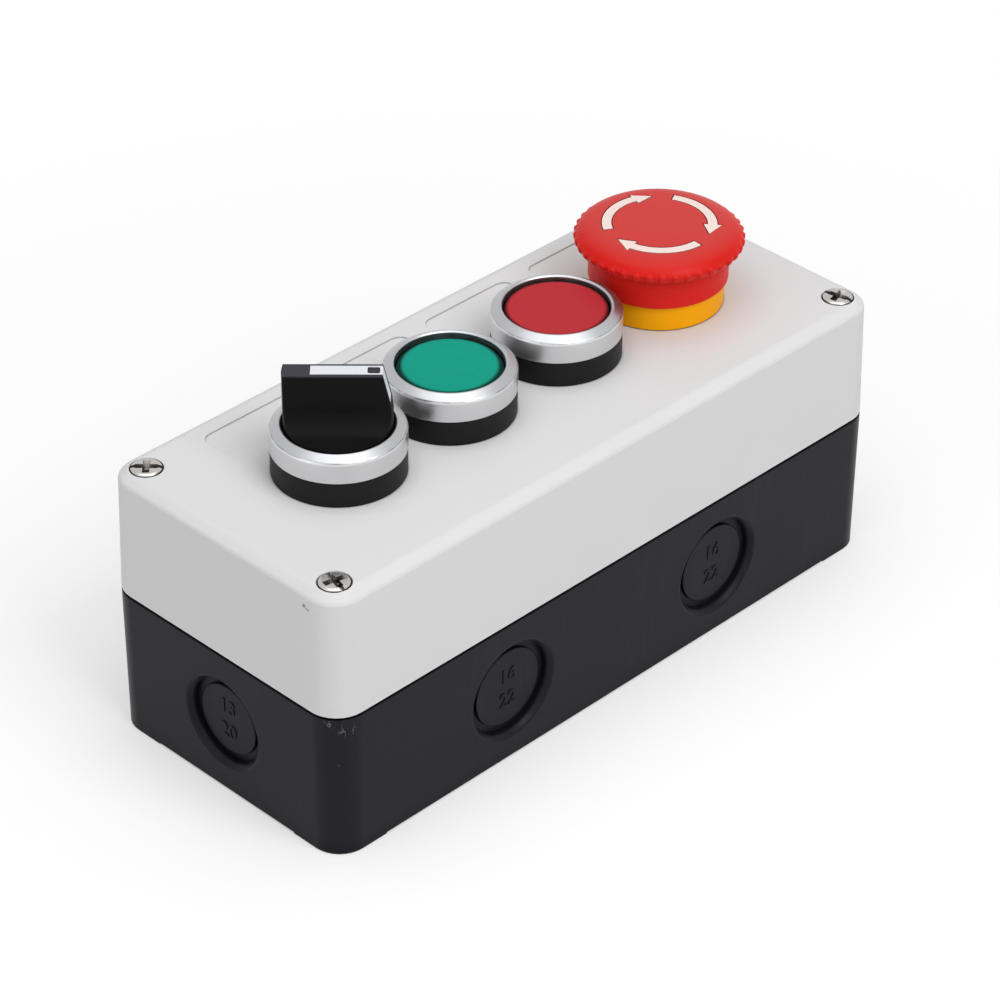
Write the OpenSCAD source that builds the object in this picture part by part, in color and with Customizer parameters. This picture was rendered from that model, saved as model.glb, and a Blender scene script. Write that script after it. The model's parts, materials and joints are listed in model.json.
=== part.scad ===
// Control box with four 22 mm stations: a two-way selector, a lit green push-button,
// a lit red push-button and a push-lock stop head that is released by a twist.
// The origin is the middle of the underside, +X points to the stop head and +Z is up.

/* [Box] */
// Length of the box at the seam
box_l = 173; // [165:0.5:200]
// Width of the box at the seam
box_w = 73.2; // [70:0.2:90]
// Height of the base from the ground to the seam
base_h = 36.6; // [34:0.2:60]
// Height of the cover from the seam to the panel face
cover_h = 31.2; // [28:0.2:40]
// Radius of the upright corners at the seam
corner_r = 7.5; // [6:0.5:10]
// Thickness of the side walls
wall = 3; // [2.8:0.1:3.4]
// Thickness of the panel that carries the devices
panel_t = 3; // [2:0.1:4.5]
// Thickness of the floor
floor_t = 3; // [2:0.1:5]
// Distance that each base wall leans in towards the foot
base_lean = 0.3; // [0.1:0.1:1]
// Distance that each cover wall leans in towards the panel
cover_lean = 0.65; // [0.1:0.05:1]
// Width of the sloping edge round the panel
edge_w = 2.4; // [1:0.1:3]
// Height of the sloping edge round the panel
edge_h = 1.65; // [0.8:0.05:3]
// Open line that shows between base and cover
seam_gap = 0.4; // [0.2:0.1:0.8]
// Height of the corner feet
foot_h = 0.55; // [0.3:0.05:2]
// Length of each foot along the box edge
foot_l = 14.5; // [10:0.5:20]

/* [Fastening] */
// Distance of the cover screws from the side faces
screw_inset = 7.05; // [6.8:0.05:8]
// Diameter of a cover screw's shank
screw_d = 4; // [3.5:0.1:4.2]
// Diameter of a cover screw's head
screw_head_d = 7; // [6:0.1:7.4]
// Length of screw thread inside the base
screw_bite = 14; // [8:1:24]
// Distance between the wall-fixing holes along the box
fix_l = 132; // [110:1:136]
// Distance between the wall-fixing holes across the box
fix_w = 48; // [40:1:50]
// Diameter of the wall-fixing holes
fix_d = 5.8; // [4.2:0.1:6]

/* [Knock-outs] */
// Distance of each long-side knock-out from the middle
side_knock_x = 33.3; // [28:0.1:40]
// Diameter of the breakable disc in a long side
side_disc_d = 19.4; // [16:0.1:20.4]
// Diameter of the breakable disc in an end
end_disc_d = 17.4; // [14:0.1:20]
// Width of the groove round each disc
groove_w = 1.85; // [1:0.05:2]
// Width of the lip outside the groove
lip_w = 1; // [0.5:0.1:1.2]
// Depth of each disc below the wall
disc_sink = 1.1; // [0.5:0.1:1.5]
// Thickness of wall left behind the groove
web_t = 0.8; // [0.5:0.1:1.1]

/* [Stations] */
// Distance between neighbouring stations
pitch = 33.5; // [33.5:0.1:36]
// Diameter of the barrel that passes the panel
barrel_d = 21.9; // [21.7:0.1:22.1]
// Room between the barrel and its panel hole
hole_play = 0.2; // [0.1:0.05:0.4]
// Length of the barrel below the panel face
barrel_l = 22; // [21:0.5:24]
// Diameter of the black ring on the panel
flange_d = 29.8; // [29:0.1:30]
// Height of the black ring on the panel
flange_h = 6.1; // [5:0.1:7]
// Outer diameter of the metal bezel
bezel_d = 30; // [29.8:0.1:30.4]
// Height of the bezel's rim above the panel
bezel_top = 12.4; // [12:0.1:14]
// Diameter of the opening in the bezel
window_d = 24.5; // [24.4:0.1:25]
// Length of the name recess
label_l = 27.4; // [24:0.1:30]
// Width of the name recess
label_w = 13.7; // [10:0.1:14]
// Distance from the panel's middle to the near edge of the name recess
label_y = 16.2; // [15.8:0.1:16.5]
// Depth of the name recess
label_sink = 0.35; // [0.1:0.05:0.8]

/* [Push-buttons] */
// Travel of a lit push-button
button_travel = 3.5; // [2:0.1:3.5]
// Diameter of the coloured lens
lens_d = 23.8; // [23.4:0.1:23.8]
// Height of the lens face above the panel
lens_top = 11.4; // [11.2:0.1:12]
// Thickness of the lens face
lens_t = 0.9; // [0.8:0.1:1.4]
// Outer diameter of the hollow plunger
tube_d = 12.2; // [11.6:0.1:12.6]
// Inner diameter of the hollow plunger
tube_bore = 10.2; // [9.8:0.1:10.4]
// Diameter of the lamp
lamp_d = 8.8; // [7:0.1:9]

/* [Selector] */
// Angle turned between the two positions
selector_angle = 90; // [60:5:90]
// Direction in which the pointer stands, from +X
pointer_dir = -45; // [-90:5:0]
// Height of the grip above the panel
grip_top = 25.2; // [20:0.1:30]
// Length of the grip's top face
grip_l = 21.6; // [19:0.1:22]
// Thickness of the grip at its top
grip_t = 5.2; // [4.5:0.1:6]
// Width of the white pointer bar
pointer_w = 3.4; // [2.5:0.1:3.8]
// Diameter of the rotor's shaft
rotor_d = 16; // [15:0.1:17]
// Travel of the contact stem under the selector
selector_travel = 3; // [1.5:0.1:3.2]

/* [Stop head] */
// Travel of the stop head
stop_travel = 3; // [2:0.1:3]
// Largest diameter of the stop head
stop_d = 39.6; // [38:0.1:39.6]
// Height of the stop head's widest line above the panel
stop_rim_z = 15.4; // [15:0.1:18]
// Height of the stop head's shoulder above its widest line
stop_dome_h = 4; // [3.8:0.1:6]
// Diameter of the flat part of the stop head
stop_flat_d = 26; // [24:0.5:30]
// Number of grip bumps round the rim
bump_count = 40; // [24:1:48]
// Diameter of the yellow ring
ring_d = 30.5; // [30.2:0.1:32.4]
// Height of the yellow ring
ring_h = 6.3; // [5:0.1:7]
// Diameter of the red collar under the head
collar_d = 32.8; // [32:0.1:33]

/* [Contact blocks] */
// Width of a contact block along the box
block_w = 26; // [24:0.5:27]
// Length of a contact block across the box
block_l = 44; // [42:0.5:50]
// Height of a contact block
block_h = 23; // [22.5:0.5:26]
// Gap left between closed contacts at the end of travel
contact_play = 0.3; // [0.1:0.1:0.6]
// Thickness of the contact strips
strip_t = 0.8; // [0.6:0.1:1]
// Width of the contact strips
strip_w = 5; // [4:0.1:5.4]
// Diameter of the post on which the stem slides
post_d = 9.2; // [8:0.1:9.6]

/* [Hidden] */
$fn = 96;
hull_fn = 32;
eps = 0.01;

// Heights of the box
panel_z = base_h + cover_h;
floor_z = foot_h + floor_t;
rim_z = base_h + seam_gap;
tongue_in = 0.2;
tongue_w = wall - 1.6;
tongue_h = 2;
seal_t = 1;
rebate_play = 0.1;
slab_t = 0.02;

// Cover screws and their bosses
screw_x = box_l / 2 - screw_inset;
screw_y = box_w / 2 - screw_inset;
screw_head_h = 2.3;
screw_proud = 0.45;
screw_seat = screw_head_h - screw_proud;
screw_slot_w = 0.95;
screw_slot_l = 4.4;
screw_slot_deep = 1.5;
shank_play = 0.3;
boss_r = screw_d / 2 + 2.8;
slim_boss_r = screw_inset - wall - 0.05;

// Places of the four stations along the box
label_r = 3;
station_x = [-1.5 * pitch, -0.5 * pitch, 0.5 * pitch, 1.5 * pitch];
SELECTOR = 0;
GREEN = 1;
RED = 2;
STOP = 3;

// Device bodies, measured from the panel face
run_play = 0.08;
fit_play = 0.05;
move_play = 0.35;
barrel_r = barrel_d / 2;
hole_r = barrel_r + hole_play;
key_w = 3;
key_reach = 0.8;
key_play = 0.15;
seal_sink = 0.8;
seal_out_r = flange_d / 2 - 1;
window_r = window_d / 2;
spigot_r = window_r + 0.95;
bezel_step = bezel_top - 1.9;
spigot_top = bezel_step - 0.1;
cup_floor = 1.5;
chamber_r = barrel_r - 1.75;
guide_l = 10;
chamber_floor = guide_l - barrel_l;
nut_h = 5;
nut_d = 29;

// Push-button inner parts, measured from the panel face
lens_r = lens_d / 2;
lens_wall = 1.2;
lens_float = 2.4;
lens_foot = cup_floor + button_travel + lens_float;
plate_t = 1.8;
plate_foot = lens_foot - plate_t;
plate_r = lens_r - 0.4;
diffuser_t = 2.3;
diffuser_r = lens_r - lens_wall - 0.1;
lamp_room = 3.1;
lamp_top = plate_foot - button_travel - lamp_room;

// Springs
button_wire = 0.9;
stop_wire = 1.1;
stem_wire = 0.6;
return_spring_r = (tube_d / 2 + chamber_r) / 2;
button_turns = 7;
stop_turns = 6.5;
stem_turns = 4;
coil_steps = 12;
coil_sides = 6;

// Selector, measured from the panel face
grip_foot = cup_floor + 0.5;
grip_disc_top = bezel_top - 0.3;
grip_disc_r = window_r - move_play;
grip_foot_t = 6.2;
grip_sweep_r = 4.5;
grip_lip_h = 3.4;
pointer_tail = 5.7;
pointer_t = 1.2;
pointer_drop = 7;
pointer_end = grip_l - grip_disc_r;
tail_edge = 0.4;
peg_l = 2.6;
peg_w = 0.7 * pointer_w;
peg_gap = 0.6;
peg_end = pointer_end - peg_gap;
peg_sink = 0.1;
rotor_r = rotor_d / 2;
rotor_lift = 6.1;
rotor_end = rotor_lift - barrel_l;
nose_half = 10;
cam_step = 3;
cam_over = 2;
cam_play = 0.1;
cam_slope = selector_travel / selector_angle;
cam_depth = 2.5;
cam_contact = rotor_end - cam_depth;
nose_dirs = [90, 270];

// Stop head, measured from the panel face
stop_r = stop_d / 2;
core_r = seal_out_r + 0.4;
core_over = 5.8;
core_top = ring_h + core_over;
collar_top = stop_rim_z - 1.5;
collar_round = 1;
head_in_r = collar_d / 2 + 0.4;
head_foot = collar_top - 0.3;
head_roof = collar_top + stop_travel + 0.4;
rim_drop = 0.5;
rim_in = 0.7;
bump_r = 0.9;
bump_round = 2;
bump_lift = 0.1;
arrow_r = 12.08;
arrow_w = 2.15;
arrow_barb = 1;
arrow_tail = 148;
arrow_neck = 72;
arrow_tip = 52;
arrow_sink = 0.4;
bump_rise = 0.4;
dome_rise = 0.25;
dome_z = stop_rim_z + stop_dome_h;
cap_t = 1.3;
boss_out_r = tube_d / 2 + 2;
boss_lift = 7.5;
head_boss_foot = cup_floor + stop_travel + boss_lift;
shoulder_z = cup_floor + stop_travel + 0.5;
shoulder_t = 1.2;
shoulder_r = chamber_r - 0.5;
stop_shaft_bore = 6;

// Contact blocks, measured from the panel face
holder_floor_t = 2;
block_top = -barrel_l - holder_floor_t;
block_foot = block_top - block_h;
holder_grip = 5.5;
holder_t = 2.4;
holder_r = barrel_r + holder_t;
holder_bore_r = 8.2;
clip_t = 1.5;
clip_w = 8;
clip_drop = 9;
hook = 0.8;
hook_h = 1.5;
clip_play = 0.05;
chamber_w = 18;
chamber_l = 30;
roof_t = 3;
block_floor_t = 2.5;
block_chamfer = 1.2;
post_r = post_d / 2;
stem_r = tube_d / 2 + 0.2;
stem_bore_r = post_r + run_play;
spigot_d = 5;
spigot_l = 3;
stem_top = -barrel_l - 0.2;
carrier_drop = 6;
carrier_z = block_top - roof_t - carrier_drop;
carrier_t = 1;
carrier_rim = 1.7;
carrier_r = stem_r + carrier_rim;
bridge_t = 1;
bridge_l = 24.6;
stem_foot = carrier_z - carrier_t - bridge_t - 1;
tip_y = 10.5;
tip_r = 1.8;
tip_t = 0.8;
strip_in = 8.6;
pocket_w = 11;
pocket_deep = 3.8;
pocket_y = block_l / 2 - pocket_deep;
plate_lift = 3;
plate_over = 2.4;
plate_foot_z = block_foot + plate_lift;
plate_head_z = carrier_z + plate_over;
pocket_foot_z = block_foot + 1;
pocket_head_z = plate_head_z + 1;
plate_w = 7.6;
terminal_z = (plate_foot_z + plate_head_z) / 2 - 0.4;
terminal_r = 1.6;
terminal_bite = 2.6;
terminal_head_r = 2.9;
terminal_head_h = 1.6;
washer_t = 0.6;
washer_w = 6.6;

// A block with rounded upright corners, standing on z = 0
module round_block(l, w, r, h) {
    linear_extrude(h) {
        square([l - 2 * r, w], center = true);
        square([l, w - 2 * r], center = true);
        for (sx = [-1, 1], sy = [-1, 1])
            translate([sx * (l / 2 - r), sy * (w / 2 - r)]) circle(r);
    }
}

// A thin sheet of the same outline, used as a section of a leaning shell
module section(z, inset, r) {
    translate([0, 0, z])
        round_block(box_l - 2 * inset, box_w - 2 * inset, r, slab_t, $fn = hull_fn);
}

// A band that follows the wall, between two distances from its outer face
module wall_band(z, h, from, to) {
    translate([0, 0, z])
        difference() {
            round_block(box_l - 2 * from, box_w - 2 * from, corner_r - from, h);
            translate([0, 0, -eps])
                round_block(box_l - 2 * to, box_w - 2 * to, corner_r - to, h + 2 * eps);
        }
}

module at_screws() {
    for (sx = [-1, 1], sy = [-1, 1])
        translate([sx * screw_x, sy * screw_y, 0]) children();
}

// The space of one station, with z = 0 on the panel face
module at_station(i) {
    translate([station_x[i], 0, panel_z]) children();
}

module tube(r, bore, from, to) {
    translate([0, 0, from])
        difference() {
            cylinder(r = r, h = to - from);
            translate([0, 0, -eps]) cylinder(r = bore, h = to - from + 2 * eps);
        }
}

module box_between(a, b) {
    translate(a) cube(b - a);
}

// A knock-out as it is cut from a wall: lip, sunk disc and deeper groove round it.
// The wall's outer face is z = 0 and the cut goes down from there.
module knock_out_cut(disc_d) {
    disc_r = disc_d / 2;
    groove_r = disc_r + groove_w;
    rotate_extrude()
        polygon([
            [0, 1], [groove_r + lip_w + 1, 1], [groove_r + lip_w, 0], [groove_r, -lip_w],
            [groove_r, web_t - wall], [disc_r, web_t - wall], [disc_r, -disc_sink],
            [0, -disc_sink]
        ]);
}

module knock_outs() {
    for (s = [-1, 1]) {
        for (x = [-side_knock_x, side_knock_x])
            translate([x, s * box_w / 2, base_h / 2])
                rotate([s * -90, 0, 0]) knock_out_cut(side_disc_d);
        translate([s * box_l / 2, 0, base_h / 2])
            rotate([0, s * 90, 0]) knock_out_cut(end_disc_d);
    }
}

module base_box() {
    color("#36363a")
    difference() {
        union() {
            hull() {
                section(foot_h, base_lean, corner_r);
                section(base_h - slab_t, 0, corner_r);
            }
            wall_band(base_h - 1, tongue_h + 1, wall - tongue_in - tongue_w, wall - tongue_in);
            intersection() {
                round_block(
                    box_l - 2 * base_lean - 1, box_w - 2 * base_lean - 1, corner_r, foot_h + 1
                );
                for (sx = [-1, 1], sy = [-1, 1])
                    translate([sx * box_l / 2, sy * box_w / 2, 0])
                        cube([2 * foot_l, 2 * foot_l, 3 * floor_t], center = true);
            }
        }
        difference() {
            translate([0, 0, floor_z])
                round_block(box_l - 2 * wall, box_w - 2 * wall, corner_r - wall, base_h + tongue_h);
            at_screws() cylinder(r = boss_r, h = base_h);
        }
        at_screws()
            translate([0, 0, base_h - screw_bite - 1])
                cylinder(r = screw_d / 2 + fit_play, h = screw_bite + 2);
        for (sx = [-1, 1], sy = [-1, 1])
            translate([sx * fix_l / 2, sy * fix_w / 2, -eps])
                cylinder(d = fix_d, h = floor_z + 1);
        knock_outs();
    }
}

module cover() {
    rebate_top = base_h + tongue_h + seal_t;
    color("#d8d9db")
    difference() {
        union() {
            difference() {
                hull() {
                    section(rim_z, 0, corner_r);
                    section(panel_z - edge_h - slab_t, cover_lean, corner_r - cover_lean);
                    section(panel_z - slab_t, cover_lean + edge_w, corner_r - edge_w);
                }
                translate([0, 0, rim_z - 1])
                    round_block(
                        box_l - 2 * wall, box_w - 2 * wall, corner_r - wall,
                        panel_z - panel_t - rim_z + 1
                    );
                wall_band(rim_z - 1, rebate_top - rim_z + 1,
                    wall - tongue_in - tongue_w - rebate_play, wall + eps);
            }
            at_screws()
                translate([0, 0, rebate_top + 0.2])
                    cylinder(r = boss_r, h = panel_z - panel_t - rebate_top);
            at_screws()
                translate([0, 0, base_h])
                    cylinder(r = slim_boss_r, h = panel_z - panel_t - base_h);
        }
        at_screws()
            translate([0, 0, base_h - 1])
                cylinder(r = screw_d / 2 + shank_play, h = cover_h + 2);
        at_screws()
            translate([0, 0, panel_z - screw_seat])
                cylinder(r = screw_head_d / 2 + shank_play, h = screw_seat + 1);
        for (i = [0:3])
            at_station(i) {
                translate([0, 0, -panel_t - 1]) cylinder(r = hole_r, h = panel_t + 2);
                box_between(
                    [-key_w / 2 - key_play, 0, -panel_t - 1],
                    [key_w / 2 + key_play, barrel_r + key_reach + key_play, 1]
                );
                translate([0, label_y + label_w / 2, -label_sink])
                    round_block(label_l, label_w, label_r, 1);
            }
    }
}

module cover_seal() {
    color("#1d1d1f")
        wall_band(base_h + tongue_h, seal_t, wall - tongue_in - tongue_w, wall - tongue_in);
}

module cover_screws() {
    shank_foot = base_h - screw_bite - panel_z;
    color("#b9b6b0")
        at_screws()
            translate([0, 0, panel_z])
                difference() {
                    rotate_extrude()
                        polygon([
                            [0, shank_foot], [screw_d / 2 - 0.8, shank_foot],
                            [screw_d / 2, shank_foot + 1.5], [screw_d / 2, -screw_seat],
                            [screw_head_d / 2, -screw_seat], [screw_head_d / 2, screw_proud - 1.2],
                            for (a = [75:-15:15]) [
                                sin(a) * screw_head_d / 2,
                                screw_proud - 1.2 + 1.2 * cos(a)
                            ],
                            [0, screw_proud]
                        ]);
                    for (a = [45, 135])
                        rotate(a)
                            translate([0, 0, screw_proud - screw_slot_deep / 2 + eps])
                                cube([screw_slot_l, screw_slot_w, screw_slot_deep], center = true);
                }
}

// The key that stops a barrel turning in its notched hole
module barrel_key() {
    box_between(
        [-key_w / 2, barrel_r - 1, -panel_t + 0.2],
        [key_w / 2, barrel_r + key_reach, seal_sink]
    );
}

// Black body of a push-button: flange, bezel seat, spring chamber and plunger guide
module button_body() {
    guide_r = tube_d / 2 + run_play;
    barrel_key();
    rotate_extrude()
        polygon([
            [guide_r, -barrel_l], [barrel_r, -barrel_l], [barrel_r, seal_sink],
            [seal_out_r, seal_sink], [seal_out_r, 0], [flange_d / 2, 0],
            [flange_d / 2, flange_h], [spigot_r, flange_h], [spigot_r, spigot_top],
            [window_r, spigot_top], [window_r, cup_floor], [chamber_r, cup_floor],
            [chamber_r, chamber_floor], [guide_r, chamber_floor]
        ]);
}

// Metal ring with a sloping face and softened edges
module bezel() {
    edge_r = 0.6;
    edge_z = bezel_top - 0.85 - edge_r;
    rotate_extrude()
        polygon([
            [spigot_r + fit_play, flange_h], [bezel_d / 2, flange_h],
            for (a = [0:15:75]) [
                bezel_d / 2 - edge_r + edge_r * cos(a),
                edge_z + edge_r * sin(a)
            ],
            [window_r + 0.5, bezel_top], [window_r + 0.12, bezel_top - 0.08],
            [window_r, bezel_top - 0.3], [window_r, bezel_step],
            [spigot_r + fit_play, bezel_step]
        ]);
}

module panel_seal() {
    color("#1d1d1f")
    difference() {
        tube(seal_out_r - fit_play, barrel_r + fit_play, 0, seal_sink);
        box_between(
            [-key_w / 2 - key_play, 0, -1],
            [key_w / 2 + key_play, barrel_r + key_reach + key_play, seal_sink + 1]
        );
    }
}

// Coloured cap: a flat face with a skirt, open below
module lens() {
    edge = 0.3;
    rotate_extrude()
        polygon([
            [0, lens_top - lens_t], [lens_r - lens_wall, lens_top - lens_t],
            [lens_r - lens_wall, lens_foot], [lens_r, lens_foot], [lens_r, lens_top - edge],
            [lens_r - edge, lens_top], [0, lens_top]
        ]);
}

module diffuser() {
    color("#f1f3ee")
        translate([0, 0, lens_top - lens_t - diffuser_t])
            cylinder(r = diffuser_r, h = diffuser_t);
}

// Hollow plunger: a plate under the lens and a tube that slides in the barrel
module plunger() {
    color("#e6e6e0")
    rotate_extrude()
        polygon([
            [tube_bore / 2, -barrel_l], [tube_d / 2, -barrel_l], [tube_d / 2, plate_foot],
            [plate_r, plate_foot], [plate_r, lens_foot], [tube_bore / 2, lens_foot]
        ]);
}

// Capsule with a domed top, its pin seated in the block's post
module lamp(glow) {
    neck = 7;
    dome_r = lamp_d / 2 - 0.2;
    color(glow)
    rotate_extrude()
        polygon([
            [0, block_top - spigot_l], [spigot_d / 2, block_top - spigot_l],
            [spigot_d / 2, block_top], [lamp_d / 2, block_top], [lamp_d / 2, lamp_top - neck],
            [dome_r, lamp_top - neck + 0.3],
            for (a = [0:15:75]) [dome_r * cos(a), lamp_top - dome_r + dome_r * sin(a)],
            [0, lamp_top]
        ]);
}

// Height of a coil's centre line at turn t: closed end turns and open turns between them
function coil_rise(t, turns, wire, span) =
    let (dead = 0.75, open = (span - 2 * dead * wire) / (turns - 2 * dead))
    t < dead ? t * wire
    : t > turns - dead ? span - (turns - t) * wire
    : dead * wire + (t - dead) * open;

// Compression spring between two heights, outside faces included
module coil(r, wire, turns, from, to) {
    count = floor(turns * coil_steps);
    span = to - from - wire;
    ring_points = [
        for (i = [0:count], k = [0:coil_sides - 1])
            let (
                t = turns * i / count,
                around = 360 * t,
                side = 360 * k / coil_sides,
                reach = r + wire / 2 * cos(side)
            )
            [
                reach * cos(around),
                reach * sin(around),
                from + wire / 2 + coil_rise(t, turns, wire, span) + wire / 2 * sin(side)
            ]
    ];
    sides = [
        for (i = [0:count - 1], k = [0:coil_sides - 1])
            let (next = (k + 1) % coil_sides, low = i * coil_sides, high = low + coil_sides)
            each [[low + k, high + next, high + k], [low + k, low + next, high + next]]
    ];
    first_end = [for (k = [coil_sides - 1:-1:0]) k];
    last_end = [for (k = [0:coil_sides - 1]) count * coil_sides + k];
    color("#c9cacc") polyhedron(ring_points, concat(sides, [first_end, last_end]));
}

module button_spring() {
    coil(return_spring_r, button_wire, button_turns, chamber_floor + fit_play,
        plate_foot - fit_play);
}

// Selector body: as a push-button's, with a plain bore for the rotor
module selector_body() {
    bore_r = rotor_r + run_play;
    color("#1c1c1e")
    at_station(SELECTOR) {
        barrel_key();
        rotate_extrude()
            polygon([
                [bore_r, -barrel_l], [barrel_r, -barrel_l], [barrel_r, seal_sink],
                [seal_out_r, seal_sink], [seal_out_r, 0], [flange_d / 2, 0],
                [flange_d / 2, flange_h], [spigot_r, flange_h], [spigot_r, spigot_top],
                [window_r, spigot_top], [window_r, cup_floor], [bore_r, cup_floor]
            ]);
    }
}

// Half outline of the grip seen from its end: a thin blade that sweeps out into the disc
function grip_side() =
    let (
        foot_half = grip_foot_t / 2,
        sweep_z = grip_disc_top + grip_sweep_r
    )
    [
        [0, grip_foot + 1], [grip_disc_r + 1, grip_foot + 1], [grip_disc_r + 1, grip_disc_top],
        for (a = [270:-15:180]) [
            foot_half + grip_sweep_r + grip_sweep_r * cos(a),
            sweep_z + grip_sweep_r * sin(a)
        ],
        [grip_t / 2, grip_top - 0.3], [grip_t / 2 - 0.3, grip_top], [0, grip_top]
    ];

// Outline of the grip seen from its side, with the pointer end towards +X
function grip_face() = [
    [-grip_disc_r - 1, grip_foot + 1], [-grip_disc_r - 1, grip_top - 1 - tail_edge],
    [-grip_disc_r + tail_edge, grip_top], [pointer_end, grip_top],
    [grip_disc_r, grip_disc_top + grip_lip_h], [grip_disc_r + 1, grip_disc_top],
    [grip_disc_r + 1, grip_foot + 1]
];

// Outline of the pointer bar, which lies along the top and folds down the end
function pointer_face(proud) =
    let (
        slope = (grip_disc_r - pointer_end) / (grip_top - grip_disc_top - grip_lip_h),
        low_x = pointer_end + slope * pointer_drop
    )
    [
        [-pointer_tail, grip_top + proud], [pointer_end + proud, grip_top + proud],
        [low_x + proud, grip_top - pointer_drop], [low_x - pointer_t, grip_top - pointer_drop],
        [pointer_end - pointer_t, grip_top - pointer_t], [-pointer_tail, grip_top - pointer_t]
    ];

// Lays an outline drawn in x and z out across y, to half a width on each side
module across(half) {
    translate([0, half, 0]) rotate([90, 0, 0]) linear_extrude(2 * half) children();
}

module selector_grip() {
    color("#19191b")
    at_station(SELECTOR)
        rotate(pointer_dir)
            difference() {
                union() {
                    translate([0, 0, grip_foot])
                        cylinder(r = grip_disc_r, h = grip_disc_top - grip_foot);
                    intersection() {
                        across(grip_disc_r + 1) polygon(grip_face());
                        rotate(90)
                            across(grip_disc_r + 2) {
                                polygon(grip_side());
                                mirror([1, 0]) polygon(grip_side());
                            }
                        cylinder(r = grip_disc_r, h = grip_top + 1);
                    }
                }
                across(pointer_w / 2) polygon(pointer_face(1));
            }
    color("#19191b") pointer_peg(peg_l, peg_w, grip_top - peg_sink);
}

// Peg of the grip that comes up through a window of the pointer and shows as its dark mark
module pointer_peg(l, w, top) {
    foot = grip_top - 2 * pointer_t;
    at_station(SELECTOR)
        rotate(pointer_dir)
            translate([peg_end - peg_l / 2, 0, (foot + top) / 2])
                cube([l, w, top - foot], center = true);
}

module selector_pointer() {
    color("#f0f0f0")
    difference() {
        at_station(SELECTOR)
            rotate(pointer_dir)
                intersection() {
                    across(pointer_w / 2) polygon(pointer_face(0));
                    cylinder(r = grip_disc_r, h = grip_top + 1);
                }
        pointer_peg(peg_l + 2 * fit_play, peg_w + 2 * fit_play, grip_top + 1);
    }
}

// A ring sector with one level face and one helical face that climbs with the angle.
// The helix passes z_start at angle a0 and z_end at angle a1.
module helical_sector(r_in, r_out, a0, a1, z_level, z_start, z_end) {
    steps = max(1, round((a1 - a0) / cam_step));
    points = [
        for (i = [0:steps])
            let (
                a = a0 + (a1 - a0) * i / steps,
                helix = z_start + (z_end - z_start) * i / steps,
                low = min(z_level, helix),
                high = max(z_level, helix)
            )
            each [
                [r_in * cos(a), r_in * sin(a), low], [r_out * cos(a), r_out * sin(a), low],
                [r_out * cos(a), r_out * sin(a), high], [r_in * cos(a), r_in * sin(a), high]
            ]
    ];
    sides = [
        for (i = [0:steps - 1], k = [0:3])
            let (next = (k + 1) % 4, here = 4 * i, ahead = 4 * i + 4)
            each [[here + k, ahead + next, ahead + k], [here + k, here + next, ahead + next]]
    ];
    last = 4 * steps;
    polyhedron(
        points,
        concat(sides, [[3, 2, 1, 0], [last, last + 1, last + 2, last + 3]])
    );
}

// Rotor with a double helical face cam: as it turns, each ramp drives one nose down
module selector_cam() {
    ramp_back = selector_angle + nose_half + cam_over;
    ramp_ahead = nose_half + cam_over;
    color("#d9a441")
    at_station(SELECTOR) {
        translate([0, 0, rotor_end]) cylinder(r = rotor_r, h = grip_foot - rotor_end);
        for (dir = nose_dirs)
            helical_sector(
                post_r - 0.3, stem_r + 0.4, dir - ramp_back, dir + ramp_ahead, rotor_end + 1,
                cam_contact - cam_slope * ramp_back, cam_contact + cam_slope * ramp_ahead
            );
    }
}

// Body of the stop head's station: core, barrel, spring chamber and shaft guide
module stop_body() {
    guide_r = tube_d / 2 + run_play;
    color("#1c1c1e")
    at_station(STOP) {
        barrel_key();
        rotate_extrude()
            polygon([
                [guide_r, -barrel_l], [barrel_r, -barrel_l], [barrel_r, seal_sink],
                [seal_out_r, seal_sink], [seal_out_r, 0], [core_r, 0], [core_r, core_top],
                [chamber_r, core_top], [chamber_r, chamber_floor], [guide_r, chamber_floor]
            ]);
    }
}

module stop_ring() {
    color("#f2a80a")
        at_station(STOP)
            rotate_extrude()
                polygon([
                    [core_r + fit_play, 0], [ring_d / 2, 0], [ring_d / 2, ring_h],
                    [core_r + fit_play, ring_h]
                ]);
}

// Fixed red collar over which the head slides down
module stop_collar() {
    out_r = collar_d / 2;
    color("#c8201c")
        at_station(STOP)
            rotate_extrude()
                polygon([
                    [core_r + fit_play, ring_h], [out_r, ring_h], [out_r, collar_top - collar_round],
                    for (a = [15:15:90]) [
                        out_r - collar_round + collar_round * cos(a),
                        collar_top - collar_round + collar_round * sin(a)
                    ],
                    [core_r + fit_play, collar_top]
                ]);
}

// Points of the head's rounded shoulder, from the rim up to the flat top
function shoulder(rim_r) =
    let (flat_r = stop_flat_d / 2)
    [
        for (a = [0:15:75]) [
            flat_r + (rim_r - flat_r) * cos(a),
            stop_rim_z + stop_dome_h * sin(a)
        ]
    ];

// Curved arrow seen from above, clockwise as the head is turned to release it
function arrow_outline(grow) =
    let (
        r_in = arrow_r - arrow_w / 2 - grow,
        r_out = arrow_r + arrow_w / 2 + grow,
        more = grow / arrow_r * 57.3,
        tail = arrow_tail + more,
        neck = arrow_neck + more,
        tip = arrow_tip - 2 * more,
        steps = 16
    )
    [
        for (i = [0:steps]) let (a = tail + (neck - tail) * i / steps) r_out * [cos(a), sin(a)],
        (r_out + arrow_barb) * [cos(neck), sin(neck)],
        arrow_r * [cos(tip), sin(tip)],
        (r_in - arrow_barb) * [cos(neck), sin(neck)],
        for (i = [steps:-1:0]) let (a = tail + (neck - tail) * i / steps) r_in * [cos(a), sin(a)]
    ];

module arrows(grow) {
    for (turn = [0, 120, 240])
        rotate(turn)
            translate([0, 0, dome_z - arrow_sink])
                linear_extrude(arrow_sink + 1) polygon(arrow_outline(grow));
}

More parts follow.
